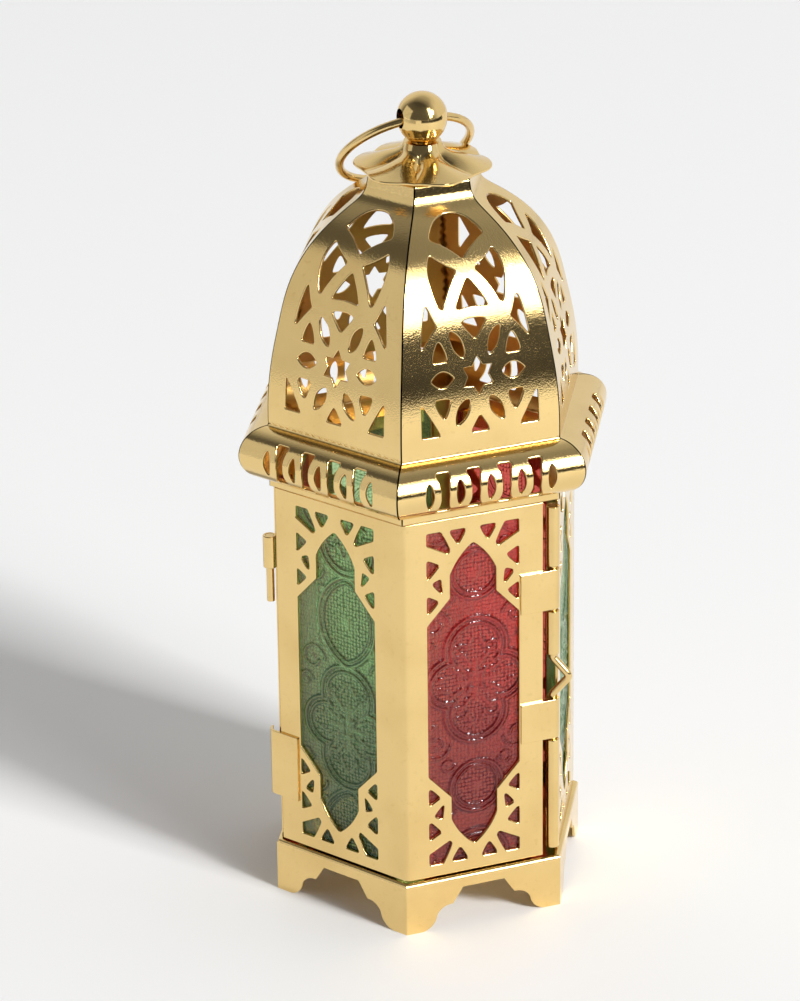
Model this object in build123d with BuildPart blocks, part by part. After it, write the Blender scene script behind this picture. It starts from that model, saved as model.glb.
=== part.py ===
"""Six-sided fanous lantern with a hinged two-face door, openwork dome and hanging ring.

Millimetres, +Z up. The origin is on the floor, under the middle of the lantern. The front corner
points to -Y. Sides are named by the direction they face, seen from the front.
"""
import os
from math import cos, radians, sin, tan

from build123d import *

os.makedirs("parts", exist_ok=True)

# Sheet, wire and fits
sheet = 0.5                # thickness of every folded sheet
seam_gap = 0.1             # gap at the seams between sheets that meet edge to edge
seat_gap = 0.05            # gap round a piece that is dropped into its seat
swing_gap = 0.4            # gap above and below the door
pin_radius = 0.8           # hinge and catch wire
pin_clearance = 0.05       # radial clearance of a wire in its knuckle
knuckle_gap = 0.35         # clearance round a knuckle in the other sheet
barrel_gap = 0.6           # clearance between knuckles along the wire

# Base stand
base_ledge = 1.0           # base stands this far outside the body's corners
base_height = 11.0
base_bend = 0.8            # outer radius of the folded top edge
arch_height = 8.4          # top of the cut-out between two feet
arch_inset = 12.1          # end of its straight top, from the base's corner
step_height = 5.1          # shelf of the stepped bracket foot
step_inset = 9.9
foot_shoulder = 3.2        # top of the foot's rounded toe
foot_inset = 6.5
toe_inset = 3.3            # length of the foot on the floor, from the corner
foot_hollow = 0.6          # depth of the foot's hollow below its shelf
toe_round = 0.8            # depth of its rounded toe

# Body walls
body_radius = 32.0         # centre to corner, outside
door_height = 76.5
collar_overlap = 2.4       # how far the fixed walls reach up inside the collar
bend_radius = 0.6          # inner radius of a folded corner
hinge_edge = 2.9           # door sheet stops this far from the hinge corner
clasp_edge = 0.5           # door sheet stops this far from the clasp corner
wall_edge = 0.8            # fixed sheet stops this far from the clasp corner
lap_width = 3.4            # lap of the two fixed sheets at the back corner

# Window and lattice of one wall face. Drops are below the top of the lattice
frame_width = 6.4          # plain sheet at each side of the window
rail_height = 2.55         # plain sheet above and below the lattice
tip_drop = 3.2
shoulder_drop = 9.4        # upper end of the lobe's upright sides
lobe_drop = 14.3
side_drop = 19.5           # upper end of the window's straight sides

# Pressed glass in folded channels
glass_thick = 2.0
glass_overlap = 1.8        # glass hidden behind the sheet at each side of the window
channel_turn = 2.2         # turned edge of the channel

# Hinge on the right corner
strap_inset = 0.2          # straps stop this far from the window's side
strap_height = 8.4
strap_drop = 18.7          # middle of the upper strap, below the door's top
strap_spacing = 27.9       # between the middles of the two straps
barrel_end = 1.3           # hinge barrels stop this far from the door's ends
crimp_room = 9.6           # free wire between the lower strap and the middle barrel
crimp_half = 4.0           # half height of the V crimp
crimp_reach = 3.4

# Clasp and catch on the left corner
clasp_low = 9.6            # above the door's lower edge
clasp_height = 14.0
clasp_radius = 1.7         # outer radius of the clasp's bend
clasp_offset = 1.0         # its bend stands this far past the corner
clasp_leg = 1.0
bead_radius = 0.8
bead_inset = 1.0           # catch bead is shorter than the clasp at each end
catch_below = 10.7         # catch knuckle's upper end, below the door's top
catch_height = 6.8
catch_inset = 1.1          # catch knuckle from the corner
catch_drop = 7.2           # catch wire hangs this far out of its knuckle

# Roof: collar, dome and neck. Dome heights are above the collar's top
lip_height = 1.9           # upright lip under the collar
collar_radius = 5.4
knee_inset = 2.4           # knee stands this far inside the lip
knee_height = 21.0
lower_sag = 0.8
neck_step = 1.9            # shoulder stands this far outside the neck
shoulder_height = 44.5
upper_sag = 3.1
neck_apothem = 9.7
neck_rise = 1.6            # neck's foot stands this far above the shoulder
neck_length = 1.9
neck_flange = 3.4
collar_bands = 6           # straight runs pressed into the collar's round
lower_bands = 2
upper_bands = 5

# Crown, finial and ring
lobe_centre = 8.0          # from the axis to the middle of a lobe
lobe_radius = 5.4
trumpet_radius = 7.4
trumpet_bands = 3          # turned bands of the crown's flare
crown_height = 5.0
stem_radius = 3.2
ball_radius = 4.75
ball_rise = 5.4            # ball's middle above the crown
ball_foot = 2.3
ball_bands = 6             # turned bands of the ball
ring_radius = 13.1
ring_wire = 0.8
ring_sides = 6             # flats of the ring's drawn wire
ring_bore = 1.9
ring_lean = 44.4           # ring leans this far below level, on the roof behind
ring_side = 120.0          # direction in which the ring leans
plate_thick = 0.8
screw_radius = 1.5
screw_reach = 2.4          # screw inside the ball
screw_head = 2.8
screw_head_height = 1.6

# Tea-light pan
cup_room = 3.9             # between the pan and the glass channels
cup_height = 5.2
cup_sheet = 0.4

# Worked out from the sizes above
half_turn = 30.0
flat = cos(radians(half_turn))
slope = tan(radians(half_turn))
wall = body_radius * flat
inner = wall - sheet
face_half = wall * slope
base_radius = body_radius + base_ledge
base_half = base_radius / 2
door_bottom = base_height + swing_gap
door_top = door_bottom + door_height
window_middle = door_bottom + door_height / 2
window_half = face_half - frame_width
lobe_half = window_half / 2
lattice_top = door_height / 2 - rail_height
glass_bottom = door_bottom + sheet + seat_gap
glass_top = door_top - sheet - seat_gap
channel_depth = glass_thick + sheet + seat_gap
cup_radius = inner - channel_depth - cup_room - cup_sheet
bore_radius = pin_radius + pin_clearance
knuckle_radius = bore_radius + sheet
hinge_apothem = wall + sheet - knuckle_radius
hinge_side = hinge_apothem * slope
collar_bottom = door_top + swing_gap
collar_middle = collar_bottom + lip_height + collar_radius
dome_bottom = collar_middle + collar_radius
lip_apothem = wall + seam_gap + sheet
knee_apothem = lip_apothem - knee_inset
shoulder_apothem = neck_apothem + neck_step
wall_top = collar_bottom + collar_overlap
neck_foot = dome_bottom + shoulder_height + neck_rise
neck_top = neck_foot + neck_length
crown_top = neck_top + crown_height
ball_middle = crown_top + ball_rise

faces = {
    "right": 0.0,
    "back_right": 60.0,
    "back_left": 120.0,
    "left": 180.0,
    "front_left": -120.0,
    "front_right": -60.0,
}


def face_point(angle, across, apothem):
    """Plan position at a distance across a face and out from the axis."""
    a = radians(angle)
    return (apothem * cos(a) - across * sin(a), apothem * sin(a) + across * cos(a))


def corner_point(angle, apothem, next_angle, next_apothem):
    """Plan position where the lines of two faces cross."""
    a, b = radians(angle), radians(next_angle)
    turn = sin(b - a)
    return (
        (apothem * sin(b) - next_apothem * sin(a)) / turn,
        (next_apothem * cos(a) - apothem * cos(b)) / turn,
    )


def face_plane(angle, apothem=0.0):
    """Upright plane parallel to a face, with X across the face and Y up."""
    a = radians(angle)
    x, y = face_point(angle, 0, apothem)
    return Plane(origin=(x, y, 0), x_dir=(-sin(a), cos(a), 0), z_dir=(cos(a), sin(a), 0))


def section_plane(angle):
    """Upright plane square to a face, with X out from the axis and Y up."""
    a = radians(angle)
    return Plane(origin=(0, 0, 0), x_dir=(cos(a), sin(a), 0), z_dir=(sin(a), -cos(a), 0))


def chord_point(start, end, sag):
    """Point off the middle of a chord, on its right-hand side."""
    run_x, run_y = end[0] - start[0], end[1] - start[1]
    length = (run_x**2 + run_y**2) ** 0.5
    middle_x, middle_y = (start[0] + end[0]) / 2, (start[1] + end[1]) / 2
    return (middle_x + sag * run_y / length, middle_y - sag * run_x / length)


def flats(curve, count):
    """Corners that divide a curve into short straight runs."""
    return [curve @ (step / count) for step in range(count + 1)]


def finish(piece, name):
    """Label a finished piece and write it."""
    piece.label = name
    export_step(piece, f"parts/{name}.step")


# Openings of one wall face: the lobed window, and one corner's lattice mirrored to the other three
with BuildSketch() as wall_openings:
    Polygon(
        (0, lattice_top - tip_drop),
        (lobe_half, lattice_top - shoulder_drop),
        (lobe_half, lattice_top - lobe_drop),
        (window_half, lattice_top - side_drop),
        (window_half, 0),
        (0, 0),
        align=None,
    )
    lattice = (
        ((0, 0), (2.9, 0), (4.8, 3.9), (4.3, 4.7), (0, 2.4)),
        ((4.7, 0), (8.2, 0), (6.5, 3.0)),
        ((0, 5.5), (2.6, 6.9), (0, 9.7)),
        ((2.9, 9.9), (3.3, 13.2), (1.1, 10.6)),
        ((0, 13.1), (2.4, 14.5), (0, 17.0)),
    )
    for outline in lattice:
        Polygon(*[(window_half - x, lattice_top - y) for x, y in outline], align=None)
    mirror(about=Plane.YZ)
    mirror(about=Plane.XZ)

# Openings of one dome petal, drawn for its right half: across the face, and up from the collar
with BuildSketch() as petal_openings:
    star = ((0, 18.9), (1.05, 17.1), (2.95, 17.0), (2.1, 15.2), (2.95, 13.4), (1.05, 13.3), (0, 11.5))
    fretwork = (
        ((0, 36.3), (5.3, 39.8), (3.4, 41.8), (0, 42.7)),
        ((1.8, 34.6), (6.4, 37.4), (7.6, 33.6), (6.2, 27.8)),
        ((0, 33.2), (3.3, 27.8), (0, 28.2)),
        ((9.3, 29.8), (7.6, 25.4), (11.1, 21.0)),
        ((0, 22.2), (2.6, 25.6), (0, 26.0)),
        ((5.1, 24.0), (3.0, 22.4), (2.5, 19.1), (4.4, 20.6)),
        ((7.5, 22.7), (6.0, 18.7), (9.0, 18.7)),
        ((5.0, 15.3), (7.2, 16.9), (9.4, 15.3), (7.2, 13.7)),
        star,
        ((2.2, 10.9), (2.5, 8.0), (4.8, 6.2), (4.4, 9.4)),
        ((6.0, 11.4), (9.1, 11.5), (7.3, 7.6)),
        ((12.0, 11.3), (12.0, 4.5), (8.2, 4.5)),
        ((0, 7.6), (1.9, 4.3), (0, 4.3)),
    )
    for outline in fretwork:
        Polygon(*outline, align=None)
    mirror(about=Plane.YZ)

# Openings of one collar side: pointed eyes, with waisted slots between them
with BuildSketch() as collar_openings:
    eye_count, eye_pitch = 5, 6.3
    eye_wide, eye_tall = 0.85, 2.6
    slot_wide, slot_waist, slot_tall = 1.6, 0.85, 4.0
    with GridLocations(eye_pitch, eye_pitch, eye_count, 1):
        Polygon((eye_wide, 0), (0, eye_tall), (-eye_wide, 0), (0, -eye_tall), align=None)
    with GridLocations(eye_pitch, eye_pitch, eye_count - 1, 1):
        Polygon(
            (slot_waist, 0),
            (slot_wide, slot_tall),
            (-slot_wide, slot_tall),
            (-slot_waist, 0),
            (-slot_wide, -slot_tall),
            (slot_wide, -slot_tall),
            align=None,
        )

# Glass channels of one wall face, seen from its side: sheet folded in and turned up, above and below
with BuildSketch() as glass_channels:
    for edge, way in ((door_bottom, 1), (door_top, -1)):
        Polygon(
            (inner, edge),
            (inner, edge + way * sheet),
            (inner - channel_depth + sheet, edge + way * sheet),
            (inner - channel_depth + sheet, edge + way * (sheet + channel_turn)),
            (inner - channel_depth, edge + way * (sheet + channel_turn)),
            (inner - channel_depth, edge),
            align=None,
        )

# Base stand: folded tray, cut away between its bracket feet
with BuildPart() as base_stand:
    with BuildSketch():
        RegularPolygon(base_radius, 6, rotation=half_turn)
    extrude(amount=base_height)
    fillet(base_stand.faces().sort_by(Axis.Z)[-1].edges(), base_bend)
    with BuildSketch():
        RegularPolygon(base_radius - sheet / flat, 6, rotation=half_turn)
    extrude(amount=base_height - sheet, mode=Mode.SUBTRACT)
    for angle in (faces["right"], faces["back_right"], faces["back_left"]):
        with BuildSketch(face_plane(angle)):
            with BuildLine():
                shelf = (base_half - step_inset, step_height)
                shoulder = (base_half - foot_inset, foot_shoulder)
                toe = (base_half - toe_inset, 0)
                Polyline((0, arch_height), (base_half - arch_inset, arch_height), shelf)
                ThreePointArc(shelf, chord_point(shelf, shoulder, -foot_hollow), shoulder)
                ThreePointArc(shoulder, chord_point(shoulder, toe, toe_round), toe)
                Line(toe, (0, 0))
                mirror(about=Plane.YZ)
            make_face()
        extrude(amount=base_radius, both=True, mode=Mode.SUBTRACT)
finish(base_stand.part, "base_stand")

# Tea-light pan, soldered to the floor
with BuildPart() as candle_cup:
    with BuildSketch(Plane.XZ):
        Polygon(
            (0, base_height),
            (cup_radius + cup_sheet, base_height),
            (cup_radius + cup_sheet, base_height + cup_height),
            (cup_radius, base_height + cup_height),
            (cup_radius, base_height + cup_sheet),
            (0, base_height + cup_sheet),
            align=None,
        )
    revolve(axis=Axis.Z)
finish(candle_cup.part, "candle_cup")

# Door: one sheet folded at the front corner, with glass channels behind both windows
left_face, right_face = faces["front_left"], faces["front_right"]
with BuildPart() as door_panel:
    with BuildSketch(Plane.XY.offset(door_bottom)):
        with BuildLine():
            FilletPolyline(
                face_point(left_face, clasp_edge - face_half, wall),
                corner_point(left_face, wall, right_face, wall),
                face_point(right_face, face_half - hinge_edge, wall),
                radius=bend_radius + sheet,
            )
            offset(amount=sheet, side=Side.LEFT)
        make_face()
    extrude(amount=door_height)
    for angle in (left_face, right_face):
        with BuildSketch(face_plane(angle, inner - sheet)):
            with Locations((0, window_middle)):
                add(wall_openings.sketch)
        extrude(amount=3 * sheet, mode=Mode.SUBTRACT)
        with BuildSketch(section_plane(angle)):
            add(glass_channels.sketch)
        extrude(amount=window_half, both=True)
finish(door_panel.part, "door_panel")

# Hinge axis and the heights of the wall's barrels on it
hinge_point = face_point(right_face, hinge_side, hinge_apothem)
strap_start = window_half + strap_inset
strap_middles = (door_top - strap_drop - strap_spacing, door_top - strap_drop)
strap_reach = strap_height / 2 + barrel_gap
barrels = (
    (door_bottom + barrel_end, strap_middles[0] - strap_reach),
    (strap_middles[0] + strap_height / 2 + crimp_room, strap_middles[1] - strap_reach),
    (strap_middles[1] + strap_reach, door_top - barrel_end),
)

# Fixed walls: two folded sheets, lapped at the back corner
with BuildPart() as rear_wall_right:
    with BuildSketch(Plane.XY.offset(base_height)):
        with BuildLine():
            FilletPolyline(
                face_point(faces["right"], bore_radius - hinge_side, wall),
                corner_point(faces["right"], wall, faces["back_right"], wall),
                corner_point(faces["back_right"], wall, faces["back_left"], inner - seat_gap),
                face_point(faces["back_left"], lap_width - face_half, inner - seat_gap),
                radius=bend_radius + sheet,
            )
            offset(amount=sheet, side=Side.LEFT)
        make_face()
    extrude(amount=wall_top - base_height)
    for angle in (faces["right"], faces["back_right"]):
        with BuildSketch(face_plane(angle, inner - sheet)):
            with Locations((0, window_middle)):
                add(wall_openings.sketch)
        extrude(amount=3 * sheet, mode=Mode.SUBTRACT)
        with BuildSketch(section_plane(angle)):
            add(glass_channels.sketch)
        extrude(amount=window_half, both=True)
    levels = [base_height, *[level for barrel in barrels for level in barrel], wall_top]
    for low, high in zip(levels[::2], levels[1::2]):
        with Locations((*hinge_point, (low + high) / 2)):
            Cylinder(knuckle_radius + knuckle_gap, high - low, mode=Mode.SUBTRACT)
    for low, high in barrels:
        with Locations((*hinge_point, (low + high) / 2)):
            Cylinder(knuckle_radius, high - low)
    with Locations((*hinge_point, (base_height + wall_top) / 2)):
        Cylinder(bore_radius, wall_top - base_height, mode=Mode.SUBTRACT)
finish(rear_wall_right.part, "rear_wall_right")

clasp_point = face_point(left_face, -face_half - clasp_offset, wall + sheet - clasp_radius)
catch_point = face_point(faces["left"], face_half - catch_inset, wall + knuckle_radius - sheet / 2)
clasp_middle = door_bottom + clasp_low + clasp_height / 2
catch_middle = door_top - catch_below - catch_height / 2
with BuildPart() as rear_wall_left:
    with BuildSketch(Plane.XY.offset(base_height)):
        with BuildLine():
            FilletPolyline(
                corner_point(faces["back_right"], wall, faces["back_left"], wall),
                corner_point(faces["back_left"], wall, faces["left"], wall),
                face_point(faces["left"], face_half - wall_edge, wall),
                radius=bend_radius + sheet,
            )
            offset(amount=sheet, side=Side.LEFT)
        make_face()
    extrude(amount=wall_top - base_height)
    for angle in (faces["back_left"], faces["left"]):
        with BuildSketch(face_plane(angle, inner - sheet)):
            with Locations((0, window_middle)):
                add(wall_openings.sketch)
        extrude(amount=3 * sheet, mode=Mode.SUBTRACT)
        with BuildSketch(section_plane(angle)):
            add(glass_channels.sketch)
        extrude(amount=window_half, both=True)
    with Locations((*clasp_point, clasp_middle)):
        Cylinder(bead_radius, clasp_height - 2 * bead_inset)
    with Locations((*catch_point, catch_middle)):
        Cylinder(knuckle_radius, catch_height)
        Cylinder(bore_radius, catch_height, mode=Mode.SUBTRACT)
finish(rear_wall_left.part, "rear_wall_left")

# Glass panes behind the windows
for name, angle in faces.items():
    with BuildPart() as glass_pane:
        with BuildSketch(face_plane(angle, inner - glass_thick)):
            with Locations((0, (glass_bottom + glass_top) / 2)):
                Rectangle(2 * (window_half + glass_overlap), glass_top - glass_bottom)
        extrude(amount=glass_thick)
    finish(glass_pane.part, f"glass_pane_{name}")

# Hinge straps on the door, each curled into a knuckle
for name, middle in zip(("lower", "upper"), strap_middles):
    with BuildPart() as hinge_strap:
        with BuildSketch(Plane.XY.offset(middle)):
            Polygon(
                face_point(right_face, strap_start, wall),
                face_point(right_face, hinge_side, wall),
                face_point(right_face, hinge_side, wall + sheet),
                face_point(right_face, strap_start, wall + sheet),
                align=None,
            )
            with Locations(hinge_point):
                Circle(knuckle_radius)
                Circle(bore_radius, mode=Mode.SUBTRACT)
        extrude(amount=strap_height / 2, both=True)
    finish(hinge_strap.part, f"hinge_strap_{name}")

# Clasp on the door: a strap bent round the corner over the wall's bead
with BuildPart() as clasp_strap:
    with BuildSketch(Plane.XY.offset(clasp_middle)):
        with BuildLine():
            bend_start = face_point(left_face, -face_half - clasp_offset, wall + sheet)
            bend_end = (clasp_point[0] - clasp_radius, clasp_point[1])
            Line(bend_end, (bend_end[0], bend_end[1] + clasp_leg))
            TangentArc(bend_end, bend_start, tangent=(0, -1))
            Line(bend_start, face_point(left_face, -strap_start, wall + sheet))
            offset(amount=sheet, side=Side.LEFT)
        make_face()
    extrude(amount=clasp_height / 2, both=True)
finish(clasp_strap.part, "clasp_strap")

# Hinge wire with its V crimp, and the straight catch wire
pin_low, pin_high = barrels[0][0] + seat_gap, barrels[2][1] - seat_gap
crimp_middle = strap_middles[0] + (strap_height + crimp_room) / 2
with BuildPart() as hinge_pin:
    with BuildLine():
        Polyline(
            (*hinge_point, pin_low),
            (*hinge_point, crimp_middle - crimp_half),
            (hinge_point[0] + crimp_reach, hinge_point[1], crimp_middle),
            (*hinge_point, crimp_middle + crimp_half),
            (*hinge_point, pin_high),
        )
    with BuildSketch(Plane((*hinge_point, pin_low))):
        Circle(pin_radius)
    sweep(transition=Transition.RIGHT)
finish(hinge_pin.part, "hinge_pin")

with BuildPart() as catch_pin:
    catch_top = catch_middle + catch_height / 2 - seat_gap
    with Locations((*catch_point, catch_top - (catch_height + catch_drop) / 2)):
        Cylinder(pin_radius, catch_height + catch_drop)
finish(catch_pin.part, "catch_pin")

# Roof: one pressed panel with a piece of the collar, repeated on the six sides
with BuildPart() as petal:
    with BuildSketch(Plane.XZ):
        with BuildLine():
            crease = (lip_apothem, dome_bottom)
            knee = (knee_apothem, dome_bottom + knee_height)
            shoulder = (shoulder_apothem, dome_bottom + shoulder_height)
            lip_top = (lip_apothem, collar_middle - collar_radius)
            brow = (lip_apothem + collar_radius, collar_middle)
            collar = ThreePointArc(lip_top, brow, crease, mode=Mode.PRIVATE)
            lower = ThreePointArc(crease, chord_point(crease, knee, lower_sag), knee, mode=Mode.PRIVATE)
            upper = ThreePointArc(knee, chord_point(knee, shoulder, upper_sag), shoulder, mode=Mode.PRIVATE)
            Polyline(
                (lip_apothem, collar_bottom),
                *flats(collar, collar_bands),
                *flats(lower, lower_bands)[1:],
                *flats(upper, upper_bands)[1:],
                (neck_apothem, neck_foot),
                (neck_apothem, neck_top),
                (neck_apothem - neck_flange, neck_top),
            )
            offset(amount=sheet, side=Side.LEFT, kind=Kind.INTERSECTION)
        make_face()
    extrude(amount=body_radius, both=True)
    reach = 2 * body_radius
    with BuildSketch(Plane.XY.offset(collar_bottom)):
        side_reach = (reach - seam_gap) * slope
        Polygon((seam_gap, 0), (reach, side_reach), (reach, -side_reach), align=None)
    extrude(amount=neck_top - collar_bottom, mode=Mode.INTERSECT)
    with BuildSketch(face_plane(faces["right"])):
        with Locations((0, dome_bottom)):
            add(petal_openings.sketch)
        with Locations((0, collar_middle)):
            add(collar_openings.sketch)
    extrude(amount=reach, mode=Mode.SUBTRACT)

for name, angle in faces.items():
    with BuildPart() as roof_panel:
        add(petal.part, rotation=(0, 0, angle))
    finish(roof_panel.part, f"roof_panel_{name}")

# Neck plate, crown, and the screw that holds them and the ball
plate_top = neck_top - sheet
with BuildPart() as neck_plate:
    with BuildSketch(Plane.XY.offset(plate_top - plate_thick)):
        RegularPolygon((neck_apothem - sheet - 2 * seam_gap) / flat, 6, rotation=half_turn)
        Circle(screw_radius + seat_gap, mode=Mode.SUBTRACT)
    extrude(amount=plate_thick)
finish(neck_plate.part, "neck_plate")

with BuildPart() as crown_plate:
    with BuildSketch(Plane.XZ):
        with BuildLine():
            brim = lobe_centre + lobe_radius
            bell, stem = (trumpet_radius, neck_top + sheet), (stem_radius, crown_top)
            flare = TangentArc(bell, stem, tangent=(-1, 0), mode=Mode.PRIVATE)
            Polyline(
                (brim, neck_top + sheet),
                *flats(flare, trumpet_bands),
                (screw_radius + seat_gap, crown_top),
                (screw_radius + seat_gap, neck_top),
                (brim, neck_top),
                close=True,
            )
        make_face()
    revolve(axis=Axis.Z)
    with BuildSketch(Plane.XY.offset(neck_top)):
        Circle(lobe_centre)
        with PolarLocations(lobe_centre, 6):
            Circle(lobe_radius)
    extrude(amount=crown_height, mode=Mode.INTERSECT)
finish(crown_plate.part, "crown_plate")

with BuildPart() as finial_screw:
    head_top = plate_top - plate_thick
    with Locations((0, 0, head_top - screw_head_height / 2)):
        Cylinder(screw_head, screw_head_height)
    with Locations((0, 0, (head_top + crown_top + screw_reach) / 2)):
        Cylinder(screw_radius, crown_top + screw_reach - head_top)
finish(finial_screw.part, "finial_screw")

# Ball with a cross bore, and the ring that hangs in it
lean, side = radians(ring_lean), radians(ring_side)
ring_fall = Vector(cos(side) * cos(lean), sin(side) * cos(lean), -sin(lean))
ring_axle = Vector(sin(side), -cos(side), 0)
ball_point = Vector(0, 0, ball_middle)
with BuildPart() as finial_ball:
    with BuildSketch(Plane.XZ):
        with BuildLine():
            foot_top = ball_middle - (ball_radius**2 - ball_foot**2) ** 0.5
            equator, pole = (ball_radius, ball_middle), (0, ball_middle + ball_radius)
            globe = ThreePointArc((ball_foot, foot_top), equator, pole, mode=Mode.PRIVATE)
            Polyline((0, crown_top), (ball_foot, crown_top), *flats(globe, ball_bands), close=True)
        make_face()
    revolve(axis=Axis.Z)
    with Locations((0, 0, crown_top + screw_reach / 2)):
        Cylinder(screw_radius + seat_gap, screw_reach + 2 * seat_gap, mode=Mode.SUBTRACT)
    with Locations(Plane(ball_point, z_dir=ring_axle)):
        Cylinder(ring_bore, 2 * ball_radius, mode=Mode.SUBTRACT)
finish(finial_ball.part, "finial_ball")

ring_sag = (ring_radius - (ring_radius**2 - ball_radius**2) ** 0.5) / 2
ring_middle = ball_point + ring_fall * (ring_radius - ring_sag)
with BuildPart() as hang_ring:
    with BuildSketch(Plane(ring_middle, x_dir=ring_axle, z_dir=ring_fall)):
        with Locations((ring_radius, 0)):
            RegularPolygon(ring_wire, ring_sides, rotation=180 / ring_sides)
    revolve(axis=Axis(ring_middle, ring_fall.cross(ring_axle)))
finish(hang_ring.part, "hang_ring")
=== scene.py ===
"""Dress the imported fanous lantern: pressed gold sheet, punched fretwork and pressed coloured glass.

Sizes are millimetres in the lantern's own frame and become metres when a mesh is made. The front
corner points to -Y, and each side is named by the direction it faces.
"""
from __future__ import annotations

import logging
import math
from dataclasses import dataclass, field
from enum import Enum
from typing import Callable, Sequence

import bpy
import numpy as np
from mathutils import Matrix, Vector
from mathutils.geometry import delaunay_2d_cdt

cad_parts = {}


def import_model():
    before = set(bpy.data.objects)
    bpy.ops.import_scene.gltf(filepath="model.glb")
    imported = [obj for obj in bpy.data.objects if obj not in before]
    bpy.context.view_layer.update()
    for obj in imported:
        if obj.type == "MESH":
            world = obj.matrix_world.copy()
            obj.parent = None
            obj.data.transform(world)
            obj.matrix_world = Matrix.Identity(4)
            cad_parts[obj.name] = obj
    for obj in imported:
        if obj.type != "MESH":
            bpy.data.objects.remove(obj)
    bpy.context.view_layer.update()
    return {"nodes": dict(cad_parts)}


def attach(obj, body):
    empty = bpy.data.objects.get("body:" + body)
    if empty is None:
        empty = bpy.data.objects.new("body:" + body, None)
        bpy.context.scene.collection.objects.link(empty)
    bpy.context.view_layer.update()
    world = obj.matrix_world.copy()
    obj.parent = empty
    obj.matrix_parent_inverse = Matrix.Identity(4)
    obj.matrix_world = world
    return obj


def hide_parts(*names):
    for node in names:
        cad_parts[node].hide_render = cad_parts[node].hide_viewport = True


LOG = logging.getLogger("fanous")
MM = 0.001
# Surface mask names; the glass's flank mask paints shade on the slopes of its raised lines.
INNER, STIPPLE, PAINTED_FLANK_SHADE, ACROSS = "inner", "stipple", "painted_flank_shade", "across"
HALF_TURN = math.radians(30.0)
SLOPE = math.tan(HALF_TURN)
BODY_RADIUS = 32.0
WALL = BODY_RADIUS * math.cos(HALF_TURN)
SHEET = 0.5
UP = np.array([0.0, 0.0, 1.0])
ROUND = np.linspace(0.0, 2 * math.pi, 17)[:-1]
SHARPEST_TURN = 2.6
CORNER_SHARE = 0.42
Point2 = tuple[float, float]
Color = tuple[float, float, float, float]


class Side(Enum):
    """The six sides, by the angle that each one faces in degrees."""

    RIGHT = 0.0
    BACK_RIGHT = 60.0
    BACK_LEFT = 120.0
    LEFT = 180.0
    FRONT_LEFT = -120.0
    FRONT_RIGHT = -60.0

    @property
    def word(self) -> str:
        """Name of the side as it stands in the part's node names."""
        return self.name.lower()


class Body(Enum):
    """The bodies that move against each other."""

    LANTERN = "lantern"
    DOOR = "door"
    RING = "ring"


class Edge(Enum):
    """How the outline of a punched opening runs between its points."""

    SAGGED = "arcs between rounded corners"
    OVAL = "one smooth closed curve"


# Plan and profile geometry


def face_point(angle: float, across: float, apothem: float) -> np.ndarray:
    """Plan position on a face.

    Args:
        angle: Direction that the face looks in, in degrees.
        across: Distance from the middle of the face.
        apothem: Distance from the lantern's axis.

    Returns:
        The x and y position.
    """
    c, s = math.cos(math.radians(angle)), math.sin(math.radians(angle))
    return np.array([apothem * c - across * s, apothem * s + across * c])


def corner_point(angle: float, apothem: float, next_angle: float, next_apothem: float) -> np.ndarray:
    """Plan position where the lines of two faces cross.

    Args:
        angle: Direction of the first face, in degrees.
        apothem: Its distance from the axis.
        next_angle: Direction of the second face, in degrees.
        next_apothem: Its distance from the axis.

    Returns:
        The x and y position.
    """
    a, b = math.radians(angle), math.radians(next_angle)
    turn = math.sin(b - a)
    return np.array([
        (apothem * math.sin(b) - next_apothem * math.sin(a)) / turn,
        (next_apothem * math.cos(a) - apothem * math.cos(b)) / turn,
    ])


def sagged(start: Sequence[float], end: Sequence[float], sag: float, step: float) -> np.ndarray:
    """Points along an edge that bows to the right of its direction.

    Args:
        start: First point.
        end: Last point.
        sag: Height of the bow at the middle of the edge.
        step: Largest distance between two points.

    Returns:
        The points, with both ends.
    """
    p, q = np.asarray(start, float), np.asarray(end, float)
    run = q - p
    length = float(np.hypot(*run))
    t = np.linspace(0.0, 1.0, max(2, int(math.ceil(length / step)) + 1))[:, None]
    right = np.array([run[1], -run[0]]) / length
    return p + t * run + 4.0 * t * (1.0 - t) * sag * right


def straight(start: Sequence[float], end: Sequence[float], step: float) -> np.ndarray:
    """Points along a straight edge, with both ends."""
    return sagged(start, end, 0.0, step)


def bowed(start: np.ndarray, tip: np.ndarray, end: np.ndarray, count: int) -> np.ndarray:
    """Points along a curve that leaves and meets its ends in the direction of a tip."""
    t = np.linspace(0.0, 1.0, count)[:, None]
    return (1 - t) ** 2 * start + 2 * t * (1 - t) * tip + t**2 * end


def distances(points: np.ndarray) -> np.ndarray:
    """Distance of each point from the first one, along a run of points."""
    return np.concatenate([[0.0], np.cumsum(np.hypot(*np.diff(points, axis=0).T))])


def along(points: np.ndarray, distance: float) -> np.ndarray:
    """Point at a distance along a run of points."""
    run = distances(points)
    return np.array([np.interp(distance, run, axis) for axis in points.T])


def trimmed(points: np.ndarray, head: float, tail: float) -> np.ndarray:
    """A run of points without a length at each end.

    Args:
        points: The run.
        head: Length taken off its start.
        tail: Length taken off its end.

    Returns:
        The shorter run.
    """
    run = distances(points)
    keep = points[(run > head + 1e-6) & (run < run[-1] - tail - 1e-6)]
    return np.vstack([along(points, head), keep, along(points, run[-1] - tail)])


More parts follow.
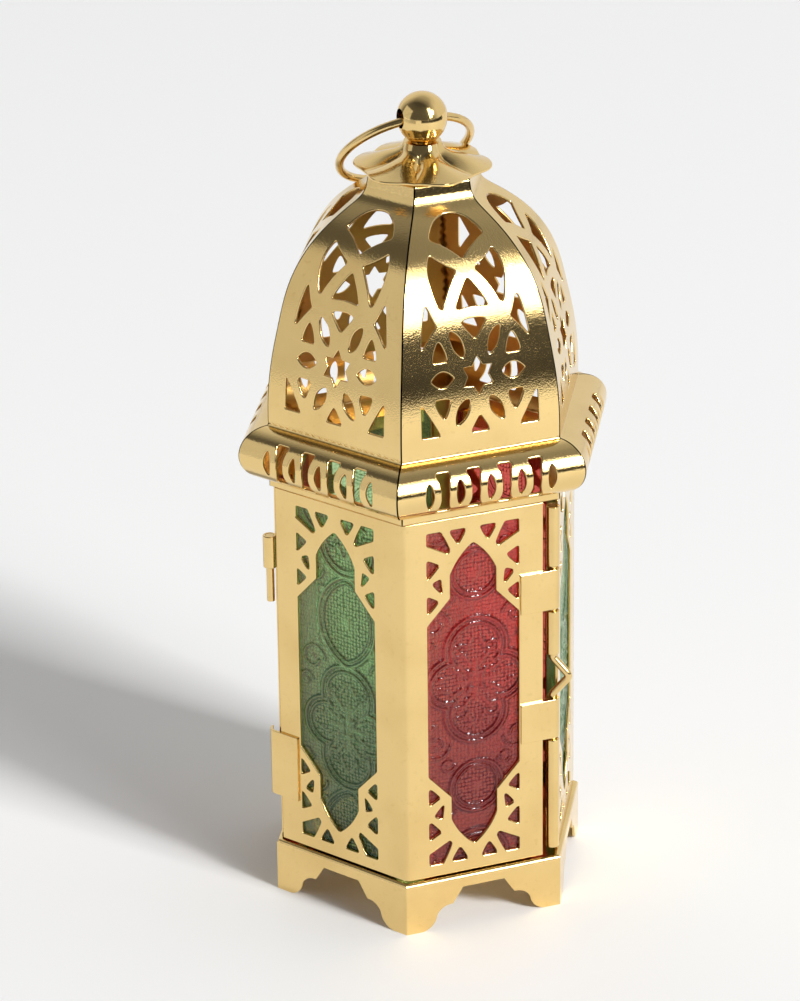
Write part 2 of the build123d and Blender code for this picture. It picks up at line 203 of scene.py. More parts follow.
def joined(edges: Sequence[np.ndarray], radii: Sequence[float], closed: bool) -> np.ndarray:
    """Edges joined end to end, with their corners rounded.

    Args:
        edges: Runs of points, each starting where the one before it ends.
        radii: Radius of the corner at the start of each edge.
        closed: Whether the last edge meets the first.

    Returns:
        The points of the whole line, without a repeated last point where it is closed.
    """
    count = len(edges)
    lengths = [distances(edge)[-1] for edge in edges]
    trims = [0.0] * count
    for index in range(0 if closed else 1, count):
        before, after = edges[index - 1], edges[index]
        a, b = before[-1] - before[-2], after[1] - after[0]
        cosine = float(np.dot(a, b) / (np.hypot(*a) * np.hypot(*b)))
        turn = min(math.acos(max(-1.0, min(1.0, cosine))), SHARPEST_TURN)
        room = CORNER_SHARE * min(lengths[index - 1], lengths[index])
        trims[index] = min(radii[index] * math.tan(turn / 2.0), room)
    pieces = []
    for index, edge in enumerate(edges):
        tail = trims[(index + 1) % count] if closed or index + 1 < count else 0.0
        kept = trimmed(edge, trims[index], tail)
        if trims[index] > 1e-6:
            start = along(edges[index - 1], lengths[index - 1] - trims[index])
            pieces.append(bowed(start, edge[0], kept[0], 7)[:-1])
        pieces.append(kept[:-1])
    if not closed:
        pieces.append(edges[-1][-1:])
    points = np.vstack(pieces)
    keep = np.ones(len(points), bool)
    keep[1:] = np.hypot(*np.diff(points, axis=0).T) > 1e-5
    if closed and np.hypot(*(points[0] - points[-1])) < 1e-5:
        keep[-1] = False
    return points[keep]


def signed_area(loop: np.ndarray) -> float:
    """Twice a loop's area, above zero where its inside is on the left."""
    x, y = loop.T
    return float(np.dot(x, np.roll(y, -1)) - np.dot(y, np.roll(x, -1)))


def turned_left(loop: np.ndarray) -> np.ndarray:
    """A closed loop in the direction that keeps its inside on the left."""
    return loop if signed_area(loop) > 0 else loop[::-1].copy()


def loop_normals(loop: np.ndarray) -> np.ndarray:
    """Outward directions at the points of a closed loop.

    Args:
        loop: Points with the loop's inside on the left.

    Returns:
        One unit direction for each point.
    """
    ahead = np.roll(loop, -1, axis=0) - loop
    back = loop - np.roll(loop, 1, axis=0)
    mean = ahead / np.hypot(*ahead.T)[:, None] + back / np.hypot(*back.T)[:, None]
    mean /= np.maximum(np.hypot(*mean.T), 1e-9)[:, None]
    return np.column_stack([mean[:, 1], -mean[:, 0]])


def square_to(axis: np.ndarray) -> np.ndarray:
    """Unit direction square to an axis."""
    side = np.array([1.0, 0.0, 0.0]) if abs(axis[2]) > 0.9 else np.cross(axis, UP)
    return side / np.linalg.norm(side)


@dataclass(frozen=True)
class Cutout:
    """One punched opening, drawn for one half or one corner of its face."""

    points: tuple[Point2, ...]
    bows: tuple[float, ...] = ()
    corner: float = 0.4
    edge: Edge = Edge.SAGGED
    halved: bool = False
    rim: float = 0.24

    def loop(self, step: float = 0.5) -> np.ndarray:
        """Closed outline of the opening.

        Args:
            step: Largest distance between two of its points.

        Returns:
            Points with the opening's inside on the left. A halved drawing starts and ends on the
            middle line and is completed by its mirror image.
        """
        points, count = list(self.points), len(self.points)
        bows = list(self.bows) + [0.0] * (count - len(self.bows))
        if self.halved:
            points += [(-x, y) for x, y in points[-2:0:-1]]
            bows = bows[: count - 1] + bows[: count - 1][::-1]
        corners = np.array(points, float)
        if signed_area(corners) < 0:
            corners = corners[::-1].copy()
            bows = bows[:-1][::-1] + bows[-1:]
        if self.edge is Edge.OVAL:
            return self._oval(corners)
        ends = np.roll(corners, -1, axis=0)
        edges = [sagged(p, q, bow, step) for p, q, bow in zip(corners, ends, bows)]
        return joined(edges, [self.corner] * len(edges), closed=True)

    @staticmethod
    def _oval(corners: np.ndarray, pull: float = 0.62) -> np.ndarray:
        """Smooth closed curve through the drawn points.

        Args:
            corners: The drawn points.
            pull: How far the curve swings out between them.

        Returns:
            Points with the curve's inside on the left.
        """
        before, after, beyond = (np.roll(corners, shift, axis=0) for shift in (1, -1, -2))
        t = np.linspace(0.0, 1.0, 7)[:-1, None, None]
        curve = (
            (2 * t**3 - 3 * t**2 + 1) * corners
            + (t**3 - 2 * t**2 + t) * pull * (after - before)
            + (3 * t**2 - 2 * t**3) * after
            + (t**3 - t**2) * pull * (beyond - corners)
        )
        return turned_left(curve.transpose(1, 0, 2).reshape(-1, 2))


@dataclass
class SweptLine:
    """A line in a plane that a sheet follows, by the distance along it."""

    points: np.ndarray
    run: np.ndarray = field(init=False)
    normals: np.ndarray = field(init=False)

    def __post_init__(self) -> None:
        """Measure the line and its outward directions, on the right of its run."""
        self.run = distances(self.points)
        directions = np.diff(self.points, axis=0) / np.diff(self.run)[:, None]
        mean = np.vstack([directions[:1], directions[:-1] + directions[1:], directions[-1:]])
        mean /= np.hypot(*mean.T)[:, None]
        self.normals = np.column_stack([mean[:, 1], -mean[:, 0]])

    @property
    def length(self) -> float:
        """Whole length of the line."""
        return float(self.run[-1])

    def at(self, distance: np.ndarray) -> tuple[np.ndarray, np.ndarray]:
        """Positions and outward directions.

        Args:
            distance: Distances along the line.

        Returns:
            The positions and the unit normals.
        """
        place = np.column_stack([np.interp(distance, self.run, axis) for axis in self.points.T])
        normal = np.column_stack([np.interp(distance, self.run, axis) for axis in self.normals.T])
        return place, normal / np.hypot(*normal.T)[:, None]

    def nearest(self, point: np.ndarray) -> float:
        """Distance along the line at which it passes a point.

        Args:
            point: The point.

        Returns:
            The distance from the line's start.
        """
        start, run = self.points[:-1], np.diff(self.points, axis=0)
        share = np.clip(((point - start) * run).sum(1) / (run**2).sum(1), 0.0, 1.0)
        best = int(np.hypot(*(start + share[:, None] * run - point).T).argmin())
        return float(self.run[best] + share[best] * (self.run[best + 1] - self.run[best]))

    def rows(self, widest: float, turn: float = 0.07) -> np.ndarray:
        """Distances that follow the line's bends closely and its straights loosely.

        Args:
            widest: Largest distance between two rows.
            turn: Largest turn between two rows, in radians.

        Returns:
            The distances, from the start to the end of the line.
        """
        directions = np.arctan2(self.normals[:, 1], self.normals[:, 0])
        turned = np.concatenate([[0.0], np.cumsum(np.abs(np.diff(np.unwrap(directions))))])
        measure = turned / turn + self.run / widest
        count = int(math.ceil(measure[-1])) + 1
        return np.interp(np.linspace(0.0, measure[-1], count), measure, self.run)


# Meshes


def quads(a: np.ndarray, b: np.ndarray, c: np.ndarray, d: np.ndarray) -> np.ndarray:
    """Two triangles for each four-sided face, from its corners in order."""
    return np.vstack([np.column_stack([a, b, c]), np.column_stack([a, c, d])])


class MeshDraft:
    """Points and triangles with a normal for each corner, collected for one piece."""

    def __init__(self) -> None:
        """Start empty."""
        self._points: list[np.ndarray] = []
        self._count = 0
        self._triangles: list[np.ndarray] = []
        self._normals: list[np.ndarray] = []
        self._masks: list[np.ndarray] = []

    def add(self, points: np.ndarray, mask: np.ndarray | float = 0.0) -> np.ndarray:
        """Add points.

        Args:
            points: Positions in millimetres.
            mask: Value of each point's surface masks, one for all or three columns.

        Returns:
            Their indices.
        """
        first = self._count
        self._points.append(np.asarray(points, float))
        self._masks.append(np.broadcast_to(np.asarray(mask, np.float32), (len(points), 3)))
        self._count += len(points)
        return np.arange(first, self._count)

    def skin(self, triangles: np.ndarray, normals: np.ndarray) -> None:
        """Add triangles.

        Args:
            triangles: Three point indices each.
            normals: One normal for each corner, or one for all.
        """
        self._triangles.append(np.asarray(triangles, int))
        self._normals.append(np.broadcast_to(np.asarray(normals, float), (len(triangles), 3, 3)))

    def strip(
        self, near: np.ndarray, far: np.ndarray, near_normals: np.ndarray, far_normals: np.ndarray
    ) -> None:
        """Add the band between two closed rings of points.

        Args:
            near: Indices of the first ring.
            far: Indices of the second ring.
            near_normals: Normals along the first ring.
            far_normals: Normals along the second ring.
        """
        a, b, c, d = near, np.roll(near, -1), np.roll(far, -1), far
        after, far_after = (np.roll(normals, -1, axis=0) for normals in (near_normals, far_normals))
        first = np.stack([near_normals, after, far_after], axis=1)
        second = np.stack([near_normals, far_after, far_normals], axis=1)
        self.skin(quads(a, b, c, d), np.vstack([first, second]))

    def fan(self, ring: np.ndarray, normal: np.ndarray) -> None:
        """Close a convex ring of points with a flat face.

        Args:
            ring: Indices of the ring, in order round the face.
            normal: The face's normal.
        """
        self.skin(np.column_stack([np.full(len(ring) - 2, ring[0]), ring[1:-1], ring[2:]]), normal)

    def prism(self, outline: Sequence[np.ndarray], start: np.ndarray, end: np.ndarray) -> None:
        """Add a straight bar with flat faces.

        Args:
            outline: Its cross-section at the origin, as offsets in space.
            start: Position of its first end.
            end: Position of its last end.
        """
        section = np.array(outline, float)
        way = (end - start) / np.linalg.norm(end - start)
        spokes = section - section.mean(0)
        if np.dot(np.cross(spokes, np.roll(spokes, -1, axis=0)).sum(0), way) < 0:
            section = section[::-1]
        low, high = self.add(section + start), self.add(section + end)
        count = len(section)
        for index in range(count):
            follow = (index + 1) % count
            normal = np.cross(section[follow] - section[index], way)
            wall = quads(low[index], low[follow], high[follow], high[index])
            self.skin(wall, normal / np.linalg.norm(normal))
        side = square_to(way)
        flat = [Vector(point) for point in np.column_stack([section @ side, section @ np.cross(way, side)])]
        edges = [(index, (index + 1) % count) for index in range(count)]
        faces = delaunay_2d_cdt(flat, edges, [], 1, 1e-6)[2]
        caps = np.array([face for face in faces if len(face) == 3], int)
        a, b, c = (section[caps[:, corner]] for corner in range(3))
        caps = np.where((np.cross(b - a, c - a) @ way < 0)[:, None], caps[:, ::-1], caps)
        self.skin(low[caps[:, ::-1]], -way)
        self.skin(high[caps], way)

    def turned(self, profile: np.ndarray, base: np.ndarray, axis: np.ndarray, count: int) -> None:
        """Add a closed profile turned round an axis.

        Args:
            profile: Radius and height of its points, with the inside on the left.
            base: Origin of the heights.
            axis: Unit direction of the heights.
            count: Number of steps round the axis.
        """
        side = square_to(axis)
        angle = np.arange(count) * 2 * math.pi / count
        out = np.cos(angle)[:, None] * side + np.sin(angle)[:, None] * np.cross(axis, side)
        rings = [self.add(base + height * axis + radius * out) for radius, height in profile]
        normals = [away * out + up * axis for away, up in loop_normals(profile)]
        for index in range(len(profile)):
            follow = (index + 1) % len(profile)
            self.strip(rings[index], rings[follow], normals[index], normals[follow])

    def build(self, name: str, *masks: str) -> bpy.types.Object:
        """Make the piece.

        Args:
            name: Name of the piece.
            *masks: Names of the surface mask attributes, if the piece has any.

        Returns:
            Its object, at the origin, in metres.
        """
        points = np.vstack(self._points) * MM
        triangles = np.vstack(self._triangles)
        a, b, c = (points[triangles[:, corner]] for corner in range(3))
        sound = np.linalg.norm(np.cross(b - a, c - a), axis=1) > 1e-13
        triangles, normals = triangles[sound], np.vstack(self._normals)[sound].reshape(-1, 3)
        mesh = bpy.data.meshes.new(name)
        mesh.from_pydata(points.tolist(), [], triangles.tolist())
        mesh.polygons.foreach_set("use_smooth", np.ones(len(triangles), bool))
        values = np.vstack(self._masks)
        for column, mask in enumerate(masks):
            mesh.attributes.new(mask, "FLOAT", "POINT").data.foreach_set("value", values[:, column].copy())
        normals = normals / np.maximum(np.linalg.norm(normals, axis=1), 1e-9)[:, None]
        mesh.normals_split_custom_set(normals.tolist())
        mesh.update()
        return placed(name, mesh)


def placed(name: str, data: bpy.types.ID) -> bpy.types.Object:
    """Put a mesh, lamp or camera into the scene.

    Args:
        name: Name of its object.
        data: The mesh, lamp or camera.

    Returns:
        The object.
    """
    thing = bpy.data.objects.new(name, data)
    bpy.context.scene.collection.objects.link(thing)
    return thing


def inside(points: np.ndarray, loops: Sequence[np.ndarray]) -> np.ndarray:
    """Which points lie in the sheet between an outline and its openings.

    Args:
        points: Positions in the flat sheet.
        loops: The outline and all openings.

    Returns:
        One truth value for each point.
    """
    odd = np.zeros(len(points), bool)
    x, y = points.T
    for loop in loops:
        for (x0, y0), (x1, y1) in zip(loop, np.roll(loop, -1, axis=0)):
            if y0 == y1:
                continue
            crossing = (y0 > y) != (y1 > y)
            odd ^= crossing & (x < (x1 - x0) * (y - y0) / (y1 - y0) + x0)
    return odd


@dataclass
class PunchedSheet:
    """A sheet of even thickness, cut to an outline and punched, that follows a line in one direction."""

    line: SweptLine
    outline: np.ndarray
    openings: list[tuple[np.ndarray, float]]
    place: Callable[[np.ndarray, np.ndarray], np.ndarray]
    thickness: float
    row: float
    step: float
    burr: float = 0.13
    clearance: float = 2.6

    def add_to(self, draft: MeshDraft) -> None:
        """Add the outer skin, the inner skin and the rounded rims.

        Args:
            draft: The piece that the sheet belongs to.
        """
        loops = [turned_left(loop) for loop in [self.outline] + [loop for loop, _ in self.openings]]
        rims = [self.burr] + [rim for _, rim in self.openings]
        ways = [-loop_normals(loops[0])] + [loop_normals(loop) for loop in loops[1:]]
        worn = [loop + rim * way for loop, rim, way in zip(loops, rims, ways)]
        free = self._free_points(loops)
        flat = np.vstack(worn + [free])
        top, out = self._lifted(flat, 0.0)
        low, under_out = self._lifted(np.vstack(loops + [free]), self.thickness)
        faces = self._faces(flat, worn)
        a, b, c = top[faces[0]]
        if np.dot(np.cross(b - a, c - a), out[faces[0, 0]]) < 0:
            faces = faces[:, ::-1]
        # The inner skin carries the inside mask, which paints it in the darker gold as shade.
        upper, lower = draft.add(top), draft.add(low, 1.0)
        draft.skin(upper[faces], out[faces])
        draft.skin(lower[faces[:, ::-1]], -under_out[faces[:, ::-1]])
        first = 0
        for loop, rim, way in zip(loops, rims, ways):
            ring = slice(first, first + len(loop))
            self._rim(draft, loop, rim, way, upper[ring], lower[ring])
            first += len(loop)

    @staticmethod
    def _faces(flat: np.ndarray, worn: Sequence[np.ndarray]) -> np.ndarray:
        """Triangles of the flat sheet between its loops.

        Args:
            flat: Points of the loops and the free ones after them.
            worn: The outline and the openings, set back by their rims.

        Returns:
            Three point indices each, all in one turning direction.
        """
        edges, first = [], 0
        for loop in worn:
            count = len(loop)
            edges += [(first + index, first + (index + 1) % count) for index in range(count)]
            first += count
        _, _, faces, origin, *_ = delaunay_2d_cdt([Vector(point) for point in flat], edges, [], 0, 1e-7)
        source = np.array([ids[0] if ids else -1 for ids in origin])
        faces = source[np.array([face for face in faces if len(face) == 3], int)]
        faces = faces[(faces >= 0).all(1)]
        faces = faces[inside(flat[faces].mean(1), worn)]
        a, b, c = (flat[faces[:, corner]] for corner in range(3))
        signed = (b - a)[:, 0] * (c - a)[:, 1] - (b - a)[:, 1] * (c - a)[:, 0]
        return np.where((signed < 0)[:, None], faces[:, ::-1], faces)

    def _rim(
        self,
        draft: MeshDraft,
        loop: np.ndarray,
        rim: float,
        way: np.ndarray,
        upper: np.ndarray,
        lower: np.ndarray,
    ) -> None:
        """Add the rounded edge of one loop and the cut below it.

        Args:
            draft: The piece.
            loop: The cut.
            rim: Radius of its rounded edge.
            way: Directions from the cut into the sheet.
            upper: Indices of its points on the outer skin.
            lower: Indices of its points on the inner skin.
        """
        edge, edge_out = self._lifted(loop + rim * way, 0.0)
        lip, lip_out = self._lifted(loop, rim)
        cheek = self._lifted(loop - 1e-3 * way, rim)[0] - lip
        cheek /= np.linalg.norm(cheek, axis=1)[:, None]
        order = np.arange(len(loop))
        if np.dot(np.cross(edge[1] - edge[0], lip[0] - edge[0]), cheek[0] + lip_out[0]) < 0:
            order = order[::-1]
        near, near_normal = upper, edge_out
        for turn in (math.pi / 6, math.pi / 3, math.pi / 2):
            drop, inset = rim * (1 - math.cos(turn)), rim * (1 - math.sin(turn))
            bend, bend_out = self._lifted(loop + inset * way, drop)
            far, far_normal = draft.add(bend), math.cos(turn) * bend_out + math.sin(turn) * cheek
            draft.strip(near[order], far[order], near_normal[order], far_normal[order])
            near, near_normal = far, far_normal
        draft.strip(near[order], lower[order], cheek[order], cheek[order])

    def _free_points(self, loops: Sequence[np.ndarray]) -> np.ndarray:
        """Points between the loops, in rows that follow the sheet's bends.

        Args:
            loops: The outline and the openings.

        Returns:
            Positions in the flat sheet, clear of its edges.
        """
        low, high = loops[0][:, 0].min(), loops[0][:, 0].max()
        points = []
        for index, level in enumerate(self.line.rows(self.row)[1:-1]):
            across = np.arange(low + 0.5 * self.step * (index % 2), high, self.step)
            points.append(np.column_stack([across, np.full(len(across), level)]))
        free = np.vstack(points)
        free = free[inside(free, loops)]
        clear = np.full(len(free), np.inf)
        for loop in loops:
            gap = np.hypot(*(free[:, None, :] - loop[None, :, :]).transpose(2, 0, 1))
            clear = np.minimum(clear, gap.min(1))
        return free[clear > self.clearance * self.burr]

    def _lifted(self, flat: np.ndarray, depth: float) -> tuple[np.ndarray, np.ndarray]:
        """Positions in space at a depth below the outer skin, and the sheet's outward normals there."""
        place, normal = self.line.at(flat[:, 1])
        return self.place(flat[:, 0], place - depth * normal), self.place(np.zeros(len(flat)), normal)


# Finishes


class Graph:
    """A node tree with short calls to add and wire its nodes."""

    def __init__(self, tree: bpy.types.NodeTree) -> None:
        """Hold the tree."""
        self.tree = tree

    def feed(self, node: bpy.types.Node, inputs: dict[str | int, object]) -> None:
        """Set a node's inputs.

        Args:
            node: The node.
            inputs: Values or output sockets for its inputs.
        """
        for name, value in inputs.items():
            if isinstance(value, bpy.types.NodeSocket):
                self.tree.links.new(value, node.inputs[name])
            else:
                node.inputs[name].default_value = value

    def node(
        self, kind: str, inputs: dict[str | int, object] | None = None, **settings: object
    ) -> bpy.types.Node:
        """Add a node.

        Args:
            kind: Its type.
            inputs: Values or output sockets for its inputs.
            **settings: Its own properties.

        Returns:
            The node.
        """
        node = self.tree.nodes.new(kind)
        for name, value in settings.items():
            setattr(node, name, value)
        self.feed(node, inputs or {})
        return node

    def calc(self, operation: str, *values: object, clamp: bool = False) -> bpy.types.NodeSocket:
        """Result of a sum on values or sockets."""
        node = self.node("ShaderNodeMath", dict(enumerate(values)), operation=operation, use_clamp=clamp)
        return node.outputs["Value"]

    def noise(self, where: bpy.types.NodeSocket, scale: object, detail: float) -> bpy.types.NodeSocket:
        """Soft noise over the surface."""
        node = self.node("ShaderNodeTexNoise", {"Vector": where, "Scale": scale, "Detail": detail})
        return node.outputs["Fac"]

    def span(
        self, value: bpy.types.NodeSocket, given: Point2, made: Point2 = (0.0, 1.0)
    ) -> bpy.types.NodeSocket:
        """A value carried from one range to another.

        Args:
            value: Socket of the value.
            given: The range that it is read in.
            made: The range that it is given out in.

        Returns:
            The new value's socket, held at the ends of its range.
        """
        node = self.node("ShaderNodeMapRange", {
            "Value": value, "From Min": given[0], "From Max": given[1], "To Min": made[0], "To Max": made[1],
        })
        return node.outputs["Result"]

    def mix(self, share: object, first: object, second: object, blend: str = "MIX") -> bpy.types.NodeSocket:
        """Colour made of two colours."""
        node = self.node("ShaderNodeMix", {0: share, 6: first, 7: second}, data_type="RGBA", blend_type=blend)
        return node.outputs[2]

    def mask(self, name: str) -> bpy.types.NodeSocket:
        """Value of a piece's surface mask."""
        return self.node("ShaderNodeAttribute", attribute_name=name).outputs["Fac"]

    def sockets(self, entries: Sequence[tuple[str, str, str]]) -> None:
        """Make a group's sockets from rows of direction, name and type."""
        for way, name, kind in entries:
            self.tree.interface.new_socket(name, in_out=way, socket_type=kind)


# Painted shade: the inside of the sheets is coloured this darker gold so that it looks shaded; the dullness
# below is roughness.
INNER_GOLD_PAINTED_SHADE: Color = (0.74, 0.46, 0.14, 1)
INNER_DULLNESS = 0.28


def metal_grain() -> bpy.types.NodeTree:
    """Node group for pressed metal: fine orange peel, a little tarnish, and a duller inside whose darker
    colour is painted shade.

    Returns:
        The group, with colour, roughness and height outputs.
    """
    graph = Graph(bpy.data.node_groups.new("metal_grain", "ShaderNodeTree"))
    graph.sockets([
        ("INPUT", "Bright", "NodeSocketColor"),
        ("INPUT", "Tarnish", "NodeSocketColor"),
        ("INPUT", "Smoothness", "NodeSocketFloat"),
        ("INPUT", "Grain", "NodeSocketFloat"),
        ("OUTPUT", "Color", "NodeSocketColor"),
        ("OUTPUT", "Roughness", "NodeSocketFloat"),
        ("OUTPUT", "Height", "NodeSocketFloat"),
    ])
    given = graph.node("NodeGroupInput").outputs
    where = graph.node("ShaderNodeTexCoord").outputs["Object"]
    stain = graph.span(graph.noise(where, 70.0, 3.0), (0.45, 0.75), (0.0, 0.45))
    fleck = graph.span(graph.noise(where, 900.0, 2.0), (0.62, 0.75), (0.0, 0.25))
    worn = graph.calc("ADD", stain, fleck)
    inner = graph.mask(INNER)
    shine = graph.mix(worn, given["Bright"], given["Tarnish"])
    sheen = graph.calc("ADD", graph.calc("MULTIPLY", worn, 0.10), given["Smoothness"])
    graph.node("NodeGroupOutput", {
        # Painted shade: the inside mask turns the colour to the darker inside gold.
        "Color": graph.mix(inner, shine, INNER_GOLD_PAINTED_SHADE),
        "Roughness": graph.calc("MULTIPLY_ADD", inner, INNER_DULLNESS, sheen),
        "Height": graph.noise(where, given["Grain"], 1.5),
    })
    return graph.tree


def principled(name: str, values: dict[str, object]) -> tuple[bpy.types.Material, Graph, bpy.types.Node]:
    """Start a material.

    Args:
        name: Its name.
        values: Plain values for its shader's own sockets.

    Returns:
        The material, its node graph and its shader.
    """
    made = bpy.data.materials.new(name)
    made.use_nodes = True
    graph, shader = Graph(made.node_tree), made.node_tree.nodes["Principled BSDF"]
    graph.feed(shader, values)
    return made, graph, shader


@dataclass(frozen=True)
class MetalFinish:
    """A polished metal surface with pressed grain, named for its slot in the record."""

    slot: str
    bright: Color
    tarnish: Color
    roughness: float
    grain: float
    bump: float

    def material(self, group: bpy.types.NodeTree) -> bpy.types.Material:
        """Make the material.

        Args:
            group: The shared grain group.

        Returns:
            The material.
        """
        made, graph, shader = principled(self.slot, {"Metallic": 1.0})
        grain = graph.node("ShaderNodeGroup", {
            "Bright": self.bright, "Tarnish": self.tarnish, "Smoothness": self.roughness, "Grain": self.grain,
        }, node_tree=group).outputs
        bump = graph.node("ShaderNodeBump", {
            "Height": grain["Height"], "Strength": self.bump, "Distance": 0.00006,
        })
        graph.feed(shader, {
            "Base Color": grain["Color"], "Roughness": grain["Roughness"], "Normal": bump.outputs["Normal"],
        })
        return made


@dataclass(frozen=True)
class GlassFinish:
    """Pressed coloured glass with a beaded ground, named for its slot in the record."""

    slot: str
    color: Color
    deep: Color
    clear: float
    roughness: float = 0.14

    def material(self) -> bpy.types.Material:
        """Make the material.

        Returns:
            The material. Its beads follow the pane's own masks, and its dark lines are painted shade on the
            steep flanks of the raised lines.
        """
        made, graph, shader = principled(self.slot, {
            "Transmission Weight": self.clear, "IOR": 1.5, "Roughness": self.roughness,
            "Specular IOR Level": 0.06,
        })
        where = graph.node("ShaderNodeTexCoord").outputs["Object"]
        level = graph.node("ShaderNodeSeparateXYZ", {0: where}).outputs["Z"]
        # Painted shade: the glass colour darkens towards the bottom of the pane, where the lantern's inside
        # behind it is dark; the noise adds a random tint.
        low = graph.span(level, (0.012, 0.075), (0.22, 0.0))
        body = graph.calc("MULTIPLY_ADD", graph.noise(where, 60.0, 2.0), 0.12, low)
        upward = graph.calc("MULTIPLY", level, 1.0 / MM)
        flat = graph.node("ShaderNodeCombineXYZ", {0: graph.mask(ACROSS), 1: upward}).outputs[0]
        dots = graph.node("ShaderNodeTexVoronoi", {
            "Vector": flat, "Scale": 1.3, "Randomness": 0.35,
        }, voronoi_dimensions="2D").outputs["Distance"]
        beads = graph.calc("MULTIPLY", graph.span(dots, (0.30, 0.58)), graph.mask(STIPPLE))
        # Painted shade: the dark lines sit on the steep flanks of the raised lines.
        lines = graph.calc("MULTIPLY_ADD", graph.mask(PAINTED_FLANK_SHADE), 0.8, body)
        shade = graph.calc("MULTIPLY_ADD", beads, 0.85, lines, clamp=True)
        ripple = graph.calc("MULTIPLY", graph.noise(where, 420.0, 2.0), 0.25)
        bump = graph.node("ShaderNodeBump", {
            "Height": graph.calc("ADD", beads, ripple), "Strength": 0.5, "Distance": 0.0002,
        }, invert=True)
        graph.feed(shader, {
            "Base Color": graph.mix(shade, self.color, self.deep), "Normal": bump.outputs["Normal"],
        })
        return made


GOLD_SHEET = MetalFinish("gold_sheet", (0.85, 0.62, 0.265, 1), (0.68, 0.46, 0.17, 1), 0.10, 3400.0, 0.30)
GOLD_WIRE = MetalFinish("gold_wire", (0.83, 0.60, 0.26, 1), (0.58, 0.38, 0.13, 1), 0.16, 1900.0, 0.10)
GOLD_TURNED = MetalFinish("gold_turned", (0.86, 0.62, 0.26, 1), (0.62, 0.40, 0.13, 1), 0.12, 1600.0, 0.10)
# Painted shade: this dark metal for the candle cup and the neck plate stands in for the shade inside the
# lantern, which shows through the panes' bottoms.
PAN_METAL_IN_PAINTED_SHADE = MetalFinish("pan_metal", (0.50, 0.36, 0.17, 1), (0.34, 0.23, 0.10, 1), 0.40, 2200.0, 0.20)
GREEN_GLASS = GlassFinish("green_glass", (0.70, 1.0, 0.52, 1), (0.03, 0.14, 0.03, 1), 0.82)
RED_GLASS = GlassFinish("red_glass", (1.0, 0.18, 0.14, 1), (0.20, 0.01, 0.02, 1), 0.84)


@dataclass
class Finishes:
    """Every material of the lantern, made once."""

    materials: dict[str, bpy.types.Material] = field(default_factory=dict)

    def __post_init__(self) -> None:
        """Make the materials."""
        group = metal_grain()
        for finish in (GOLD_SHEET, GOLD_WIRE, GOLD_TURNED, PAN_METAL_IN_PAINTED_SHADE):
            self.materials[finish.slot] = finish.material(group)
        for finish in (GREEN_GLASS, RED_GLASS):
            self.materials[finish.slot] = finish.material()

    def dress(self, piece: bpy.types.Object, finish: MetalFinish | GlassFinish) -> bpy.types.Object:
        """Give a piece its material.

        Args:
            piece: The piece.
            finish: Its finish.

        Returns:
            The same piece.
        """
        piece.data.materials.clear()
        piece.data.materials.append(self.materials[finish.slot])
        return piece


def settle(piece: bpy.types.Object, body: Body, slot: str, *nodes: str) -> None:
    """Hand a finished piece to the frame.

    Args:
        piece: The piece.
        body: The body that it moves with.
        slot: Its material slot in the record; not used.
        *nodes: The part's nodes that it stands for.
    """
    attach(piece, body.value)
    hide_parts(*nodes)
    LOG.info("%s: %d triangles on %s", piece.name, len(piece.data.polygons), body.value)


def polar_repeat() -> bpy.types.NodeTree:
    """Geometry nodes that repeat a piece round the lantern's axis.

    Returns:
        The tree, with the inputs Count, First Angle, Step Angle and Material.
    """
    graph = Graph(bpy.data.node_groups.new("polar_repeat", "GeometryNodeTree"))
    graph.sockets([
        ("INPUT", "Geometry", "NodeSocketGeometry"),
        ("INPUT", "Count", "NodeSocketInt"),
        ("INPUT", "First Angle", "NodeSocketFloat"),
        ("INPUT", "Step Angle", "NodeSocketFloat"),
        ("INPUT", "Material", "NodeSocketMaterial"),
        ("OUTPUT", "Geometry", "NodeSocketGeometry"),
    ])
    given = graph.node("NodeGroupInput").outputs
    spots = graph.node("GeometryNodePoints", {"Count": given["Count"]}).outputs[0]
    index = graph.node("GeometryNodeInputIndex").outputs[0]
    turn = graph.calc("MULTIPLY_ADD", index, given["Step Angle"], given["First Angle"])
    spin = graph.node("ShaderNodeCombineXYZ", {"Z": turn}).outputs[0]
    copies = graph.node("GeometryNodeInstanceOnPoints", {
        "Points": spots, "Instance": given["Geometry"], "Rotation": spin,
    }).outputs["Instances"]
    real = graph.node("GeometryNodeRealizeInstances", {"Geometry": copies}).outputs[0]
    dressed = graph.node("GeometryNodeSetMaterial", {"Geometry": real, "Material": given["Material"]})
    graph.node("NodeGroupOutput", {"Geometry": dressed.outputs[0]})
    return graph.tree


def applied(piece: bpy.types.Object, modifier: bpy.types.Modifier) -> bpy.types.Mesh:
    """Keep what a modifier makes as the piece's plain mesh.

    Args:
        piece: The piece.
        modifier: Its only modifier, which is removed.

    Returns:
        The piece's new mesh.
    """
    graph = bpy.context.evaluated_depsgraph_get()
    mesh = bpy.data.meshes.new_from_object(piece.evaluated_get(graph))
    piece.modifiers.remove(modifier)
    piece.data = mesh
    mesh.name = piece.name
    return mesh


